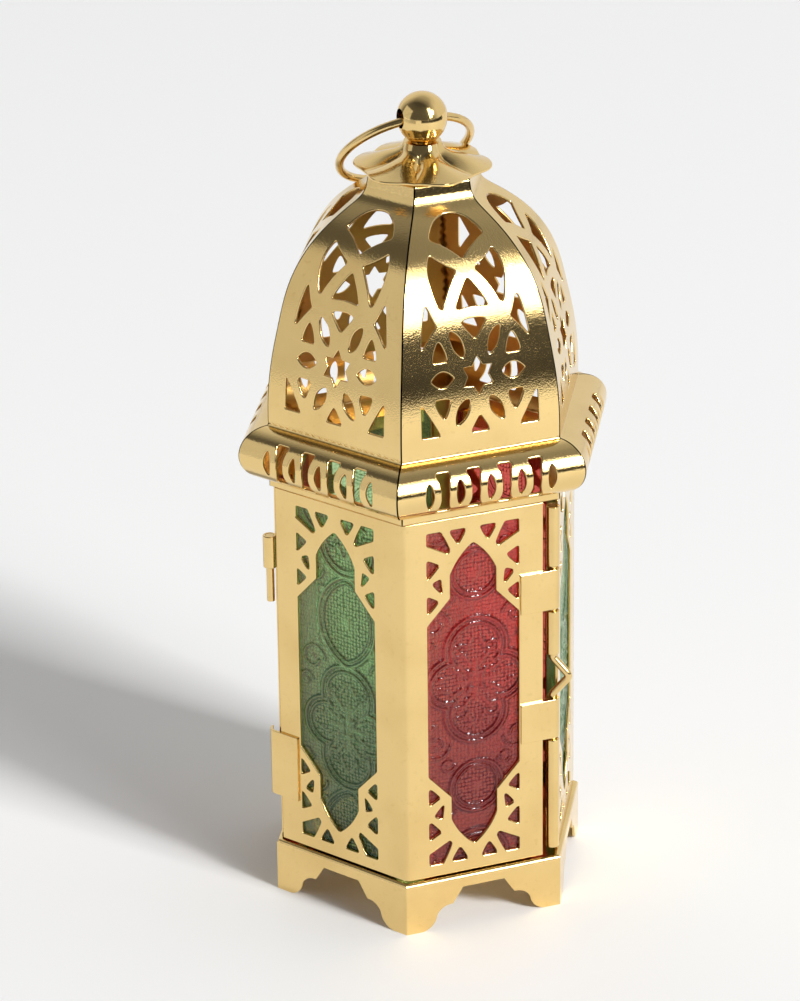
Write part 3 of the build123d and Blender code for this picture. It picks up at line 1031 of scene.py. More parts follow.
def repeated(
    piece: bpy.types.Object, tree: bpy.types.NodeTree, angles: Sequence[float], material: bpy.types.Material
) -> bpy.types.Object:
    """Repeat a piece round the axis and keep the result as a plain mesh.

    Args:
        piece: The piece on the side that faces +X.
        tree: The polar repeat.
        angles: Even angles of the copies, in degrees.
        material: Material of the copies.

    Returns:
        The same object with all the copies in its mesh.
    """
    turns = [math.radians(angle) for angle in angles]
    step = turns[1] - turns[0] if len(turns) > 1 else 0.0
    values = {"Count": len(turns), "First Angle": turns[0], "Step Angle": step, "Material": material}
    modifier = piece.modifiers.new("repeat", "NODES")
    modifier.node_group = tree
    for item in tree.interface.items_tree:
        if item.in_out == "INPUT" and item.name in values:
            modifier[item.identifier] = values[item.name]
    normals = np.empty(len(piece.data.loops) * 3, np.float32)
    piece.data.corner_normals.foreach_get("vector", normals)
    copies = []
    for turn in turns:
        c, s = math.cos(turn), math.sin(turn)
        copies.append(normals.reshape(-1, 3) @ np.array([[c, s, 0], [-s, c, 0], [0, 0, 1]]))
    applied(piece, modifier).normals_split_custom_set(np.vstack(copies).tolist())
    return piece


# Sub-assemblies


@dataclass
class Walls:
    """The door and the two fixed wall sheets, with windows, lattice, channels, knuckles and clasp."""

    sheet: float = SHEET
    wall: float = WALL
    base_height: float = 11.0
    door_bottom: float = 11.4
    door_top: float = 87.9
    wall_top: float = 90.7
    bend: float = 1.1
    seat_gap: float = 0.05
    window_half: float = 9.6
    lattice_top: float = 35.7
    channel_depth: float = 2.55
    channel_turn: float = 2.2
    hinge_edge: float = 2.9
    clasp_edge: float = 0.5
    wall_edge: float = 0.8
    lap_width: float = 3.4
    bore: float = 0.85
    knuckle: float = 1.35
    knuckle_gap: float = 0.35
    knuckle_break: float = 0.12
    knuckle_round: float = 0.08
    strap_height: float = 8.4
    strap_inset: float = 0.2
    strap_drop: float = 18.7
    strap_spacing: float = 27.9
    strap_curl: float = 290.0
    barrel_end: float = 1.3
    barrel_gap: float = 0.6
    crimp_room: float = 9.6
    clasp: Point2 = (21.0, 35.0)
    clasp_offset: float = 1.0
    clasp_radius: float = 1.7
    clasp_leg: float = 1.0
    clasp_inset: float = 0.5
    bead_radius: float = 0.8
    bead_inset: float = 1.0
    bead_break: float = 0.1
    catch_below: float = 10.7
    catch_height: float = 6.8
    catch_inset: float = 1.1
    lattice: tuple[Cutout, ...] = (
        Cutout(((0, 0), (2.9, 0), (4.8, 3.9), (4.3, 4.7), (0, 2.4)), (0, 0.1, 0.1, 0, 0), 0.45),
        Cutout(((4.7, 0), (8.2, 0), (6.5, 3.0)), (0, 0.1, 0.1), 0.45),
        Cutout(((0, 5.5), (2.6, 6.9), (0, 9.7)), (0, 0.1, 0), 0.45),
        Cutout(((2.9, 9.9), (3.3, 13.2), (1.1, 10.6)), (0, 0.1, 0.1), 0.45),
        Cutout(((0, 13.1), (2.4, 14.5), (0, 17.0)), (0, 0.1, 0), 0.45),
    )
    shifts: dict[Side, float] = field(default_factory=lambda: {Side.FRONT_LEFT: -0.9, Side.FRONT_RIGHT: -1.5})
    window: Cutout = Cutout(
        (
            (0, -32.5), (4.8, -26.3), (4.8, -21.4), (9.6, -16.2),
            (9.6, 16.2), (4.8, 21.4), (4.8, 26.3), (0, 32.5),
        ),
        (0.55, 0, 0, 0, 0, 0, 0.55), 0.7, halved=True,
    )

    @property
    def inner(self) -> float:
        """Distance from the axis to the inside of a wall."""
        return self.wall - self.sheet

    @property
    def face_half(self) -> float:
        """Half width of one face."""
        return self.wall * SLOPE

    @property
    def middle(self) -> float:
        """Height of the windows' middle."""
        return (self.door_bottom + self.door_top) / 2

    @property
    def hinge_apothem(self) -> float:
        """Distance from the axis to the hinge wire's line, square to the door."""
        return self.wall + self.sheet - self.knuckle

    @property
    def hinge(self) -> np.ndarray:
        """Plan position of the hinge wire."""
        return face_point(Side.FRONT_RIGHT.value, self.hinge_apothem * SLOPE, self.hinge_apothem)

    @property
    def clasp_middle(self) -> np.ndarray:
        """Plan position of the bead that the clasp bends round."""
        reach = self.wall + self.sheet - self.clasp_radius
        return face_point(Side.FRONT_LEFT.value, -self.face_half - self.clasp_offset, reach)

    @property
    def straps(self) -> tuple[float, float]:
        """Middle heights of the two hinge straps."""
        upper = self.door_top - self.strap_drop
        return upper - self.strap_spacing, upper

    @property
    def crimp(self) -> float:
        """Height of the wire's crimp."""
        return self.straps[0] + (self.strap_height + self.crimp_room) / 2

    @property
    def barrels(self) -> tuple[tuple[float, float], ...]:
        """Lower and upper ends of the wall's three hinge barrels."""
        low, high = self.straps
        clear = self.strap_height / 2 + self.barrel_gap
        return (
            (self.door_bottom + self.barrel_end, low - clear),
            (low + self.strap_height / 2 + self.crimp_room, high - clear),
            (high + clear, self.door_top - self.barrel_end),
        )

    def path(self, *corners: np.ndarray) -> SweptLine:
        """Folded line of a sheet's outside through its corners."""
        edges = [straight(a, b, 0.6) for a, b in zip(corners[:-1], corners[1:])]
        return SweptLine(joined(edges, [0.0] + [self.bend] * (len(edges) - 1), closed=False))

    def openings(self, line: SweptLine, sides: Sequence[Side]) -> list[tuple[np.ndarray, float]]:
        """Window and lattice loops of some sides, laid out along a folded sheet.

        Args:
            line: The sheet's folded line.
            sides: Sides that have a window.

        Returns:
            Loops with the height first and the distance along the sheet second, each with its rim.
        """
        drawn = [(self.window.loop(0.8), self.window.rim)]
        for cutout in self.lattice:
            loop = cutout.loop()
            x, y = self.window_half - loop[:, 0], self.lattice_top - loop[:, 1]
            drawn += [(np.column_stack([x * sx, y * sy]), cutout.rim) for sx in (1, -1) for sy in (1, -1)]
        laid = []
        for side in sides:
            start = line.nearest(face_point(side.value, self.shifts.get(side, 0.0), self.wall))
            place = np.array([self.middle, start])
            laid += [(loop[:, ::-1] + place, rim) for loop, rim in drawn]
        return laid

    @staticmethod
    def upright(height: np.ndarray, plan: np.ndarray) -> np.ndarray:
        """Place a folded sheet: its line is in plan, and it is swept upwards."""
        return np.column_stack([plan, height])

    @staticmethod
    def dense(corners: Sequence[Point2], step: float = 1.2) -> np.ndarray:
        """Closed outline with points between its corners."""
        ends = list(corners[1:]) + [corners[0]]
        return np.vstack([straight(a, b, step)[:-1] for a, b in zip(corners, ends)])

    def blank(self, low: float, high: float, length: float, step: float = 1.2) -> np.ndarray:
        """Outline of a plain oblong sheet, height first."""
        return self.dense([(low, 0.0), (high, 0.0), (high, length), (low, length)], step)

    def sheet_of(self, draft: MeshDraft, line: SweptLine, outline: np.ndarray, sides: Sequence[Side]) -> None:
        """Add a wall sheet with its windows and glass channels.

        Args:
            draft: The piece.
            line: The sheet's folded line.
            outline: Its cut outline, height first.
            sides: Sides that have a window.
        """
        openings = self.openings(line, sides)
        PunchedSheet(line, outline, openings, self.upright, self.sheet, row=3.2, step=3.2).add_to(draft)
        for side in sides:
            self.channels(draft, side)

    def channels(self, draft: MeshDraft, side: Side) -> None:
        """Add the folded channels that hold a side's glass, below and above its window.

        Args:
            draft: The piece.
            side: The side.
        """
        out, across = face_point(side.value, 0.0, 1.0), face_point(side.value, 1.0, 0.0)
        start, end = (np.array([*(way * self.window_half * across), 0.0]) for way in (-1, 1))
        back = self.inner - self.channel_depth
        for edge, way in ((self.door_bottom, 1), (self.door_top, -1)):
            floor = edge + way * self.sheet
            lip = floor + way * self.channel_turn
            section = [
                (self.inner, edge), (self.inner, floor), (back + self.sheet, floor),
                (back + self.sheet, lip), (back, lip), (back, edge),
            ]
            draft.prism([np.array([*(reach * out), z]) for reach, z in section], start, end)

    def tube(self, draft: MeshDraft, plan: np.ndarray, low: float, high: float) -> None:
        """Add a curled knuckle.

        Args:
            draft: The piece.
            plan: Plan position of its bore.
            low: Its lower end.
            high: Its upper end.
        """
        wide, edge = self.knuckle, self.knuckle_break
        profile = np.array([
            (self.bore, low), (wide - edge, low), (wide, low + edge),
            (wide, high - edge), (wide - edge, high), (self.bore, high),
        ])
        edges = [straight(a, b, 30.0) for a, b in zip(profile, np.roll(profile, -1, axis=0))]
        loop = joined(edges, [self.knuckle_round] * len(edges), closed=True)
        draft.turned(loop, np.array([*plan, 0.0]), UP, 28)

    def leaf(self, draft: MeshDraft, edges: Sequence[np.ndarray], low: float, high: float) -> None:
        """Add a plain strip that is bent in plan.

        Args:
            draft: The piece.
            edges: Runs of its line in plan, each starting where the one before it ends.
            low: Its lower edge.
            high: Its upper edge.
        """
        line = SweptLine(joined(edges, [0.0] * len(edges), closed=False))
        outline = self.blank(low, high, line.length, 0.5)
        PunchedSheet(line, outline, [], self.upright, self.sheet, row=1.2, step=1.4).add_to(draft)

    def door(self) -> bpy.types.Object:
        """Build the door sheet.

        Returns:
            The piece.
        """
        left, right = Side.FRONT_LEFT.value, Side.FRONT_RIGHT.value
        line = self.path(
            face_point(left, self.clasp_edge - self.face_half, self.wall),
            corner_point(left, self.wall, right, self.wall),
            face_point(right, self.face_half - self.hinge_edge, self.wall),
        )
        outline = self.blank(self.door_bottom, self.door_top, line.length)
        draft = MeshDraft()
        self.sheet_of(draft, line, outline, (Side.FRONT_LEFT, Side.FRONT_RIGHT))
        return draft.build("door_sheet", INNER)

    def right_wall(self) -> bpy.types.Object:
        """Build the fixed sheet on the hinge side, with its barrels.

        Returns:
            The piece.
        """
        lap = self.inner - self.seat_gap
        line = self.path(
            face_point(Side.RIGHT.value, self.bore - self.hinge_apothem * SLOPE, self.wall),
            corner_point(Side.RIGHT.value, self.wall, Side.BACK_RIGHT.value, self.wall),
            corner_point(Side.BACK_RIGHT.value, self.wall, Side.BACK_LEFT.value, lap),
            face_point(Side.BACK_LEFT.value, self.lap_width - self.face_half, lap),
        )
        sunk = self.inner - self.hinge_apothem
        notch = math.sqrt((self.knuckle + self.knuckle_gap) ** 2 - sunk**2) - self.bore
        steps: list[Point2] = [(self.base_height, line.length), (self.base_height, notch)]
        for low, high in self.barrels:
            steps += [(low, notch), (low, 0.0), (high, 0.0), (high, notch)]
        steps += [(self.wall_top, notch), (self.wall_top, line.length)]
        draft = MeshDraft()
        self.sheet_of(draft, line, self.dense(steps), (Side.RIGHT, Side.BACK_RIGHT))
        for low, high in self.barrels:
            self.tube(draft, self.hinge, low, high)
        return draft.build("wall_sheet_right", INNER)

    def left_wall(self) -> bpy.types.Object:
        """Build the fixed sheet on the clasp side, with its bead and catch knuckle.

        Returns:
            The piece.
        """
        line = self.path(
            corner_point(Side.BACK_RIGHT.value, self.wall, Side.BACK_LEFT.value, self.wall),
            corner_point(Side.BACK_LEFT.value, self.wall, Side.LEFT.value, self.wall),
            face_point(Side.LEFT.value, self.face_half - self.wall_edge, self.wall),
        )
        outline = self.blank(self.base_height, self.wall_top, line.length)
        draft = MeshDraft()
        self.sheet_of(draft, line, outline, (Side.BACK_LEFT, Side.LEFT))
        low, high = self.clasp[0] + self.bead_inset, self.clasp[1] - self.bead_inset
        wide, edge, pole = self.bead_radius, self.bead_break, 0.001
        rod = np.array([
            (pole, low), (wide - edge, low), (wide, low + edge),
            (wide, high - edge), (wide - edge, high), (pole, high),
        ])
        draft.turned(rod, np.array([*self.clasp_middle, 0.0]), UP, 20)
        top = self.door_top - self.catch_below
        reach = self.wall + self.knuckle - self.sheet / 2
        catch = face_point(Side.LEFT.value, self.face_half - self.catch_inset, reach)
        self.tube(draft, catch, top - self.catch_height, top)
        return draft.build("wall_sheet_left", INNER)

    def strap_leaves(self) -> bpy.types.Object:
        """Build the two hinge straps, each curled round the wire.

        Returns:
            The piece.
        """
        side, face = Side.FRONT_RIGHT, self.wall + self.sheet
        start = self.window_half + self.shifts[side] + self.strap_inset
        reach = self.hinge_apothem * SLOPE
        flat = straight(face_point(side.value, start, face), face_point(side.value, reach, face), 0.6)
        turn = np.radians(side.value + np.linspace(0.0, self.strap_curl, 60))
        curl = self.hinge + self.knuckle * np.column_stack([np.cos(turn), np.sin(turn)])
        draft = MeshDraft()
        for middle in self.straps:
            self.leaf(draft, [flat, curl], middle - self.strap_height / 2, middle + self.strap_height / 2)
        return draft.build("hinge_straps")

    def clasp_leaf(self) -> bpy.types.Object:
        """Build the clasp that bends round the catch bead.

        Returns:
            The piece.
        """
        side, face = Side.FRONT_LEFT, self.wall + self.sheet
        turn = np.radians(np.linspace(180.0, 360.0 + side.value, 20))
        bend = self.clasp_middle + self.clasp_radius * np.column_stack([np.cos(turn), np.sin(turn)])
        leg = straight(bend[0] + np.array([0.0, self.clasp_leg]), bend[0], 0.4)
        end = -self.window_half + self.shifts[side] - self.clasp_inset
        flat = straight(bend[-1], face_point(side.value, end, face), 0.6)
        draft = MeshDraft()
        self.leaf(draft, [leg, bend, flat], *self.clasp)
        return draft.build("clasp_leaf")

    def dress(self, finishes: Finishes) -> None:
        """Build the three sheets, the straps and the clasp and hand them over.

        Args:
            finishes: The lantern's materials.
        """
        for piece, body, nodes in (
            (self.door(), Body.DOOR, ("door_panel",)),
            (self.right_wall(), Body.LANTERN, ("rear_wall_right",)),
            (self.left_wall(), Body.LANTERN, ("rear_wall_left",)),
            (self.strap_leaves(), Body.DOOR, ("hinge_strap_lower", "hinge_strap_upper")),
            (self.clasp_leaf(), Body.DOOR, ("clasp_strap",)),
        ):
            settle(finishes.dress(piece, GOLD_SHEET), body, GOLD_SHEET.slot, *nodes)


@dataclass
class Roof:
    """Six pressed petals, each with its side of the half-round collar."""

    sheet: float = SHEET
    lip_apothem: float = WALL + 0.6
    collar_bottom: float = 88.3
    collar_middle: float = 95.6
    collar_radius: float = 5.4
    knee_inset: float = 2.4
    knee_height: float = 21.0
    lower_sag: float = 0.8
    shoulder: Point2 = (12.3, 43.0)
    upper_sag: float = 3.1
    flare: Point2 = (10.47, 44.4)
    neck_foot: Point2 = (10.12, 45.85)
    neck_apothem: float = 9.8
    neck_height: float = 48.0
    neck_flange: float = 3.4
    fold_radii: tuple[float, ...] = (0.0, 0.5, 0.35, 0.4, 0.4, 0.5)
    seam_gap: float = 0.1
    eye_pitch: float = 6.3
    eye: Cutout = Cutout(((0, -2.6), (0.85, 0), (0, 2.6)), (), 0.3, Edge.OVAL, True)
    slot: Cutout = Cutout(
        ((0, -4.0), (1.6, -4.0), (0.85, 0), (1.6, 4.0), (0, 4.0)), (0, -0.3, -0.3, 0), 0.7, halved=True
    )
    fretwork: tuple[Cutout, ...] = (
        Cutout(((0, 36.2), (5.5, 39.6), (0, 42.9)), (-0.35, 0.95), 0.5, halved=True),
        Cutout(((1.8, 34.6), (6.4, 37.4), (7.6, 33.6), (6.2, 27.8)), (-0.2, 0.35, 0.3, -0.35), 0.5),
        Cutout(((0, 33.2), (3.3, 27.8), (0, 28.2)), (0.3, -0.1), 0.45, halved=True),
        Cutout(((9.3, 29.8), (7.6, 25.4), (11.1, 21.0)), (-0.1, -0.1, 0.25), 0.4),
        Cutout(((0, 22.2), (2.6, 25.6), (0, 26.0)), (0.1, 0.15), 0.45, halved=True),
        Cutout(((5.1, 24.0), (3.0, 22.4), (2.5, 19.1), (4.4, 20.6)), (), 0.4, Edge.OVAL),
        Cutout(((7.5, 22.7), (6.0, 18.7), (9.0, 18.7)), (0.25, 0, 0.25), 0.45),
        Cutout(((4.9, 15.3), (9.6, 15.3)), (1.5, 1.5), 0.35),
        Cutout(
            ((0, 18.9), (1.05, 17.1), (2.95, 17.0), (2.1, 15.2), (2.95, 13.4), (1.05, 13.3), (0, 11.5)),
            (), 0.16, halved=True, rim=0.12,
        ),
        Cutout(((2.2, 10.9), (2.5, 8.0), (4.8, 6.2), (4.4, 9.4)), (), 0.4, Edge.OVAL),
        Cutout(((6.0, 11.4), (9.1, 11.5), (7.3, 7.6)), (0.1, 0.25, 0.25), 0.5),
        Cutout(((12.0, 11.3), (12.0, 4.5), (8.2, 4.5)), (0, 0, 0.1), 0.35),
        Cutout(((0, 7.6), (1.9, 4.3), (0, 4.3)), (0.1, 0), 0.4, halved=True),
    )

    @property
    def dome_bottom(self) -> float:
        """Height of the crease between collar and dome."""
        return self.collar_middle + self.collar_radius

    def profile(self) -> SweptLine:
        """Upright section of a petal's outside, from the lip to the neck flange.

        Returns:
            The line, with the distance from the axis first and the height second.
        """
        lip, crease = self.lip_apothem, self.dome_bottom
        turn = np.linspace(-math.pi / 2, math.pi / 2, 41)
        centre = np.array([lip, self.collar_middle])
        knee = (lip - self.knee_inset, crease + self.knee_height)
        shoulder, flare, foot = (
            np.array([x, crease + z]) for x, z in (self.shoulder, self.flare, self.neck_foot)
        )
        neck = (self.neck_apothem, crease + self.neck_height)
        lower = sagged((lip, crease), knee, self.lower_sag, 0.4)
        upper = sagged(knee, shoulder, self.upper_sag, 0.4)
        edges = [
            straight((lip, self.collar_bottom), (lip, self.collar_middle - self.collar_radius), 0.3),
            centre + self.collar_radius * np.column_stack([np.cos(turn), np.sin(turn)]),
            self._eased(np.vstack([lower, upper[1:]])),
            bowed(shoulder, flare, foot, 13),
            straight(foot, neck, 0.2),
            straight(neck, (self.neck_apothem - self.neck_flange, neck[1]), 0.3),
        ]
        return SweptLine(joined(edges, self.fold_radii, closed=False))

    @staticmethod
    def _eased(points: np.ndarray, passes: int = 100) -> np.ndarray:
        """Smooth a run of points between its ends.

        Args:
            points: The run.
            passes: How often it is smoothed.

        Returns:
            The smoothed run, with both ends where they were.
        """
        eased = points.copy()
        for _ in range(passes):
            eased[1:-1] = 0.5 * eased[1:-1] + 0.25 * (eased[:-2] + eased[2:])
        return eased

    def petal(self) -> bpy.types.Object:
        """Build the petal that faces +X.

        Returns:
            The piece.
        """
        line = self.profile()
        rise = np.maximum.accumulate(line.points[:, 1])
        openings: list[tuple[np.ndarray, float]] = []

        def lay(loop: np.ndarray, foot: float, rim: float) -> None:
            """Lay an upright loop along the curved sheet."""
            run = np.interp(loop[:, 1] + foot, rise, line.run)
            openings.append((np.column_stack([loop[:, 0], run]), rim))

        for cutout in self.fretwork:
            loop = cutout.loop()
            lay(loop, self.dome_bottom, cutout.rim)
            if not cutout.halved:
                lay(loop * [-1, 1], self.dome_bottom, cutout.rim)
        for cutout, steps in ((self.eye, (-2, -1, 0, 1, 2)), (self.slot, (-1.5, -0.5, 0.5, 1.5))):
            for step in steps:
                lay(cutout.loop() + [step * self.eye_pitch, 0], self.collar_middle, cutout.rim)
        rows = line.rows(1.0)
        half = (line.at(rows)[0][:, 0] - self.seam_gap) * SLOPE
        bottom, top = (
            np.column_stack([np.linspace(-half[end], half[end], 24)[1:-1], np.full(22, rows[end])])
            for end in (0, -1)
        )
        right, left = np.column_stack([half, rows]), np.column_stack([-half, rows])
        outline = np.vstack([bottom, right, top[::-1], left[::-1]])
        sheet = PunchedSheet(line, outline, openings, self.upright, self.sheet, burr=0.12, row=1.1, step=1.6)
        draft = MeshDraft()
        sheet.add_to(draft)
        return draft.build("roof_petals", INNER)

    @staticmethod
    def upright(across: np.ndarray, section: np.ndarray) -> np.ndarray:
        """Place a petal: its line is an upright section, and it is swept across the face."""
        return np.column_stack([section[:, 0], across, section[:, 1]])

    def dress(self, finishes: Finishes, tree: bpy.types.NodeTree) -> None:
        """Build one petal, repeat it on the six sides and hand it over.

        Args:
            finishes: The lantern's materials.
            tree: The polar repeat.
        """
        angles = [step * 60.0 for step in range(6)]
        piece = repeated(self.petal(), tree, angles, finishes.materials[GOLD_SHEET.slot])
        settle(piece, Body.LANTERN, GOLD_SHEET.slot, *[f"roof_panel_{side.word}" for side in Side])


@dataclass(frozen=True)
class Motif:
    """Where a pane's pattern lies.

    The centre is the quatrefoil's middle, and point is how far the roundel is drawn to a point.
    """

    centre: Point2
    point: float


@dataclass
class Panes:
    """Pressed glass panes with quatrefoil medallions, roundels and scrolls in low relief."""

    half_width: float = 11.4
    bottom: float = 11.95
    top: float = 87.35
    outside: float = WALL - SHEET
    thickness: float = 2.0
    relief: float = 0.28
    cell: float = 0.26
    pitch: float = 46.0
    rim: float = 1.2
    roundel: float = 5.5
    swell: float = 1.47
    green: Motif = Motif((1.3, 40.4), 3.2)
    red: Motif = Motif((-0.8, 52.5), 0.0)
    lobes: tuple[tuple[float, ...], ...] = ((0.0, 6.9, 6.5), (5.3, 0.0, 5.4))
    leaves: tuple[tuple[float, ...], ...] = (
        (0.0, 2.6, 0.0, 2.3, 0.75), (2.5, 0.0, 1.571, 2.1, 0.7), (1.9, 4.6, 0.7, 1.9, 0.55),
        (3.9, 2.2, 1.05, 1.8, 0.5), (1.3, 8.2, -0.5, 1.7, 0.5), (6.9, 1.4, 1.9, 1.5, 0.5),
    )
    scrolls: tuple[tuple[float, ...], ...] = (
        (3.5, 6.4, 1.7), (8.6, 13.2, 3.0), (6.0, 17.6, 1.6), (10.4, 8.2, 1.6),
    )

    def pattern(self, x: np.ndarray, z: np.ndarray, motif: Motif) -> tuple[np.ndarray, np.ndarray]:
        """Relief of the pressed pattern.

        Args:
            x: Distances from the middle line.
            z: Heights.
            motif: Where the pattern lies.

        Returns:
            Relief from 0 to 1, and the mask of the beaded ground.
        """
        def ridge(gap: np.ndarray, width: float) -> np.ndarray:
            """Rounded ridge where a distance is zero."""
            return np.exp(-((gap / width) ** 2))

        side = np.abs(x - motif.centre[0])
        rise = np.abs((z - motif.centre[1] + 0.5 * self.pitch) % self.pitch - 0.5 * self.pitch)
        halfway = rise - 0.5 * self.pitch
        foil = np.min([np.hypot(side - cx, rise - cz) - r for cx, cz, r in self.lobes], axis=0)
        disc = np.hypot(side + motif.point, halfway) - (self.roundel + self.swell * motif.point)
        lines = np.maximum.reduce([
            ridge(foil, 0.42), ridge(foil + 1.25, 0.34), ridge(disc, 0.42), ridge(disc + 1.1, 0.3),
        ])
        heart = np.maximum(ridge(np.hypot(side, rise), 0.8), ridge(np.hypot(side, halfway), 1.3))
        for cx, cz, lean, long_, wide in self.leaves:
            dx, dz = side - cx, rise - cz
            u = dx * math.sin(lean) + dz * math.cos(lean)
            v = dx * math.cos(lean) - dz * math.sin(lean)
            heart = np.maximum(heart, np.exp(-((u / long_) ** 4) - (v / wide) ** 2))
        curls = np.zeros_like(x)
        for cx, cz, size in self.scrolls:
            radius, angle = np.hypot(side - cx, rise - cz), np.arctan2(rise - cz, side - cx)
            arm = size * (0.45 + 0.55 * (angle + math.pi) / (2 * math.pi))
            curls = np.maximum(curls, ridge(radius - arm, 0.3) + ridge(radius, 0.5))
        relief = np.maximum(lines, 0.75 * np.maximum(heart, np.clip(curls, 0, 1)))
        ground = np.clip(np.maximum(-foil - 1.6, -disc - 1.4) * 2.0, 0, 1)
        return relief, np.maximum(ground, 0.5) * (1 - np.clip(relief, 0, 1))

    def pane(self, name: str, motif: Motif) -> bpy.types.Object:
        """Build the pane that faces +X.

        Args:
            name: Name of the piece.
            motif: Where its pattern lies.

        Returns:
            The piece.
        """
        across = np.linspace(-self.half_width, self.half_width, int(2 * self.half_width / self.cell) + 1)
        levels = np.linspace(self.bottom, self.top, int((self.top - self.bottom) / self.cell) + 1)
        x, z = np.meshgrid(across, levels)
        relief, ground = self.pattern(x, z, motif)
        rim = np.minimum(np.minimum(x - x.min(), x.max() - x), np.minimum(z - z.min(), z.max() - z))
        front = self.outside - self.relief * (1.0 - relief) * np.clip(rim / self.rim, 0.0, 1.0)
        slope_z, slope_x = np.gradient(front, levels, across)
        normals = np.stack([np.ones_like(x), -slope_x, -slope_z], axis=-1).reshape(-1, 3)
        # Painted shade on the steep flanks of the raised lines, away from the pane's edge.
        painted_flank_shade = np.clip((np.hypot(slope_x, slope_z) - 0.16) / 0.3, 0.0, 1.0) * (rim > self.rim + 0.1)
        draft = MeshDraft()
        face = np.column_stack([front.ravel(), x.ravel(), z.ravel()])
        index = draft.add(face, np.column_stack([ground.ravel(), painted_flank_shade.ravel(), x.ravel()])).reshape(x.shape)
        faces = quads(*(index[part].ravel() for part in (
            np.s_[:-1, :-1], np.s_[:-1, 1:], np.s_[1:, 1:], np.s_[1:, :-1],
        )))
        draft.skin(faces, normals[faces])
        sides = (
            (index[0], (0, 0, -1)), (index[:, -1], (0, 1, 0)),
            (index[-1, ::-1], (0, 0, 1)), (index[::-1, 0], (0, -1, 0)),
        )
        ring = np.concatenate([side[:-1] for side, _ in sides])
        back = self.outside - self.thickness
        under = draft.add(np.column_stack([np.full(len(ring), back), face[ring, 1:]]))
        middle = draft.add(np.array([[back, 0.0, (self.bottom + self.top) / 2]]))
        after = np.roll(np.arange(len(ring)), -1)
        draft.skin(np.column_stack([under[after], under, np.full(len(ring), middle)]), (-1.0, 0.0, 0.0))
        first = 0
        for side, normal in sides:
            here = np.arange(first, first + len(side) - 1)
            draft.skin(quads(ring[here], under[here], under[after[here]], ring[after[here]]), normal)
            first += len(here)
        return draft.build(name, STIPPLE, PAINTED_FLANK_SHADE, ACROSS)

    def dress(self, finishes: Finishes, tree: bpy.types.NodeTree) -> None:
        """Build the fixed panes and the door's panes and hand them over.

        Args:
            finishes: The lantern's materials.
            tree: The polar repeat.
        """
        for name, finish, body, motif, sides in (
            ("wall_panes_green", GREEN_GLASS, Body.LANTERN, self.green, (Side.RIGHT, Side.BACK_LEFT)),
            ("wall_panes_red", RED_GLASS, Body.LANTERN, self.red, (Side.BACK_RIGHT, Side.LEFT)),
            ("door_pane_green", GREEN_GLASS, Body.DOOR, self.green, (Side.FRONT_LEFT,)),
            ("door_pane_red", RED_GLASS, Body.DOOR, self.red, (Side.FRONT_RIGHT,)),
        ):
            angles = [side.value for side in sides]
            piece = repeated(self.pane(name, motif), tree, angles, finishes.materials[finish.slot])
            settle(piece, body, finish.slot, *[f"glass_pane_{side.word}" for side in sides])


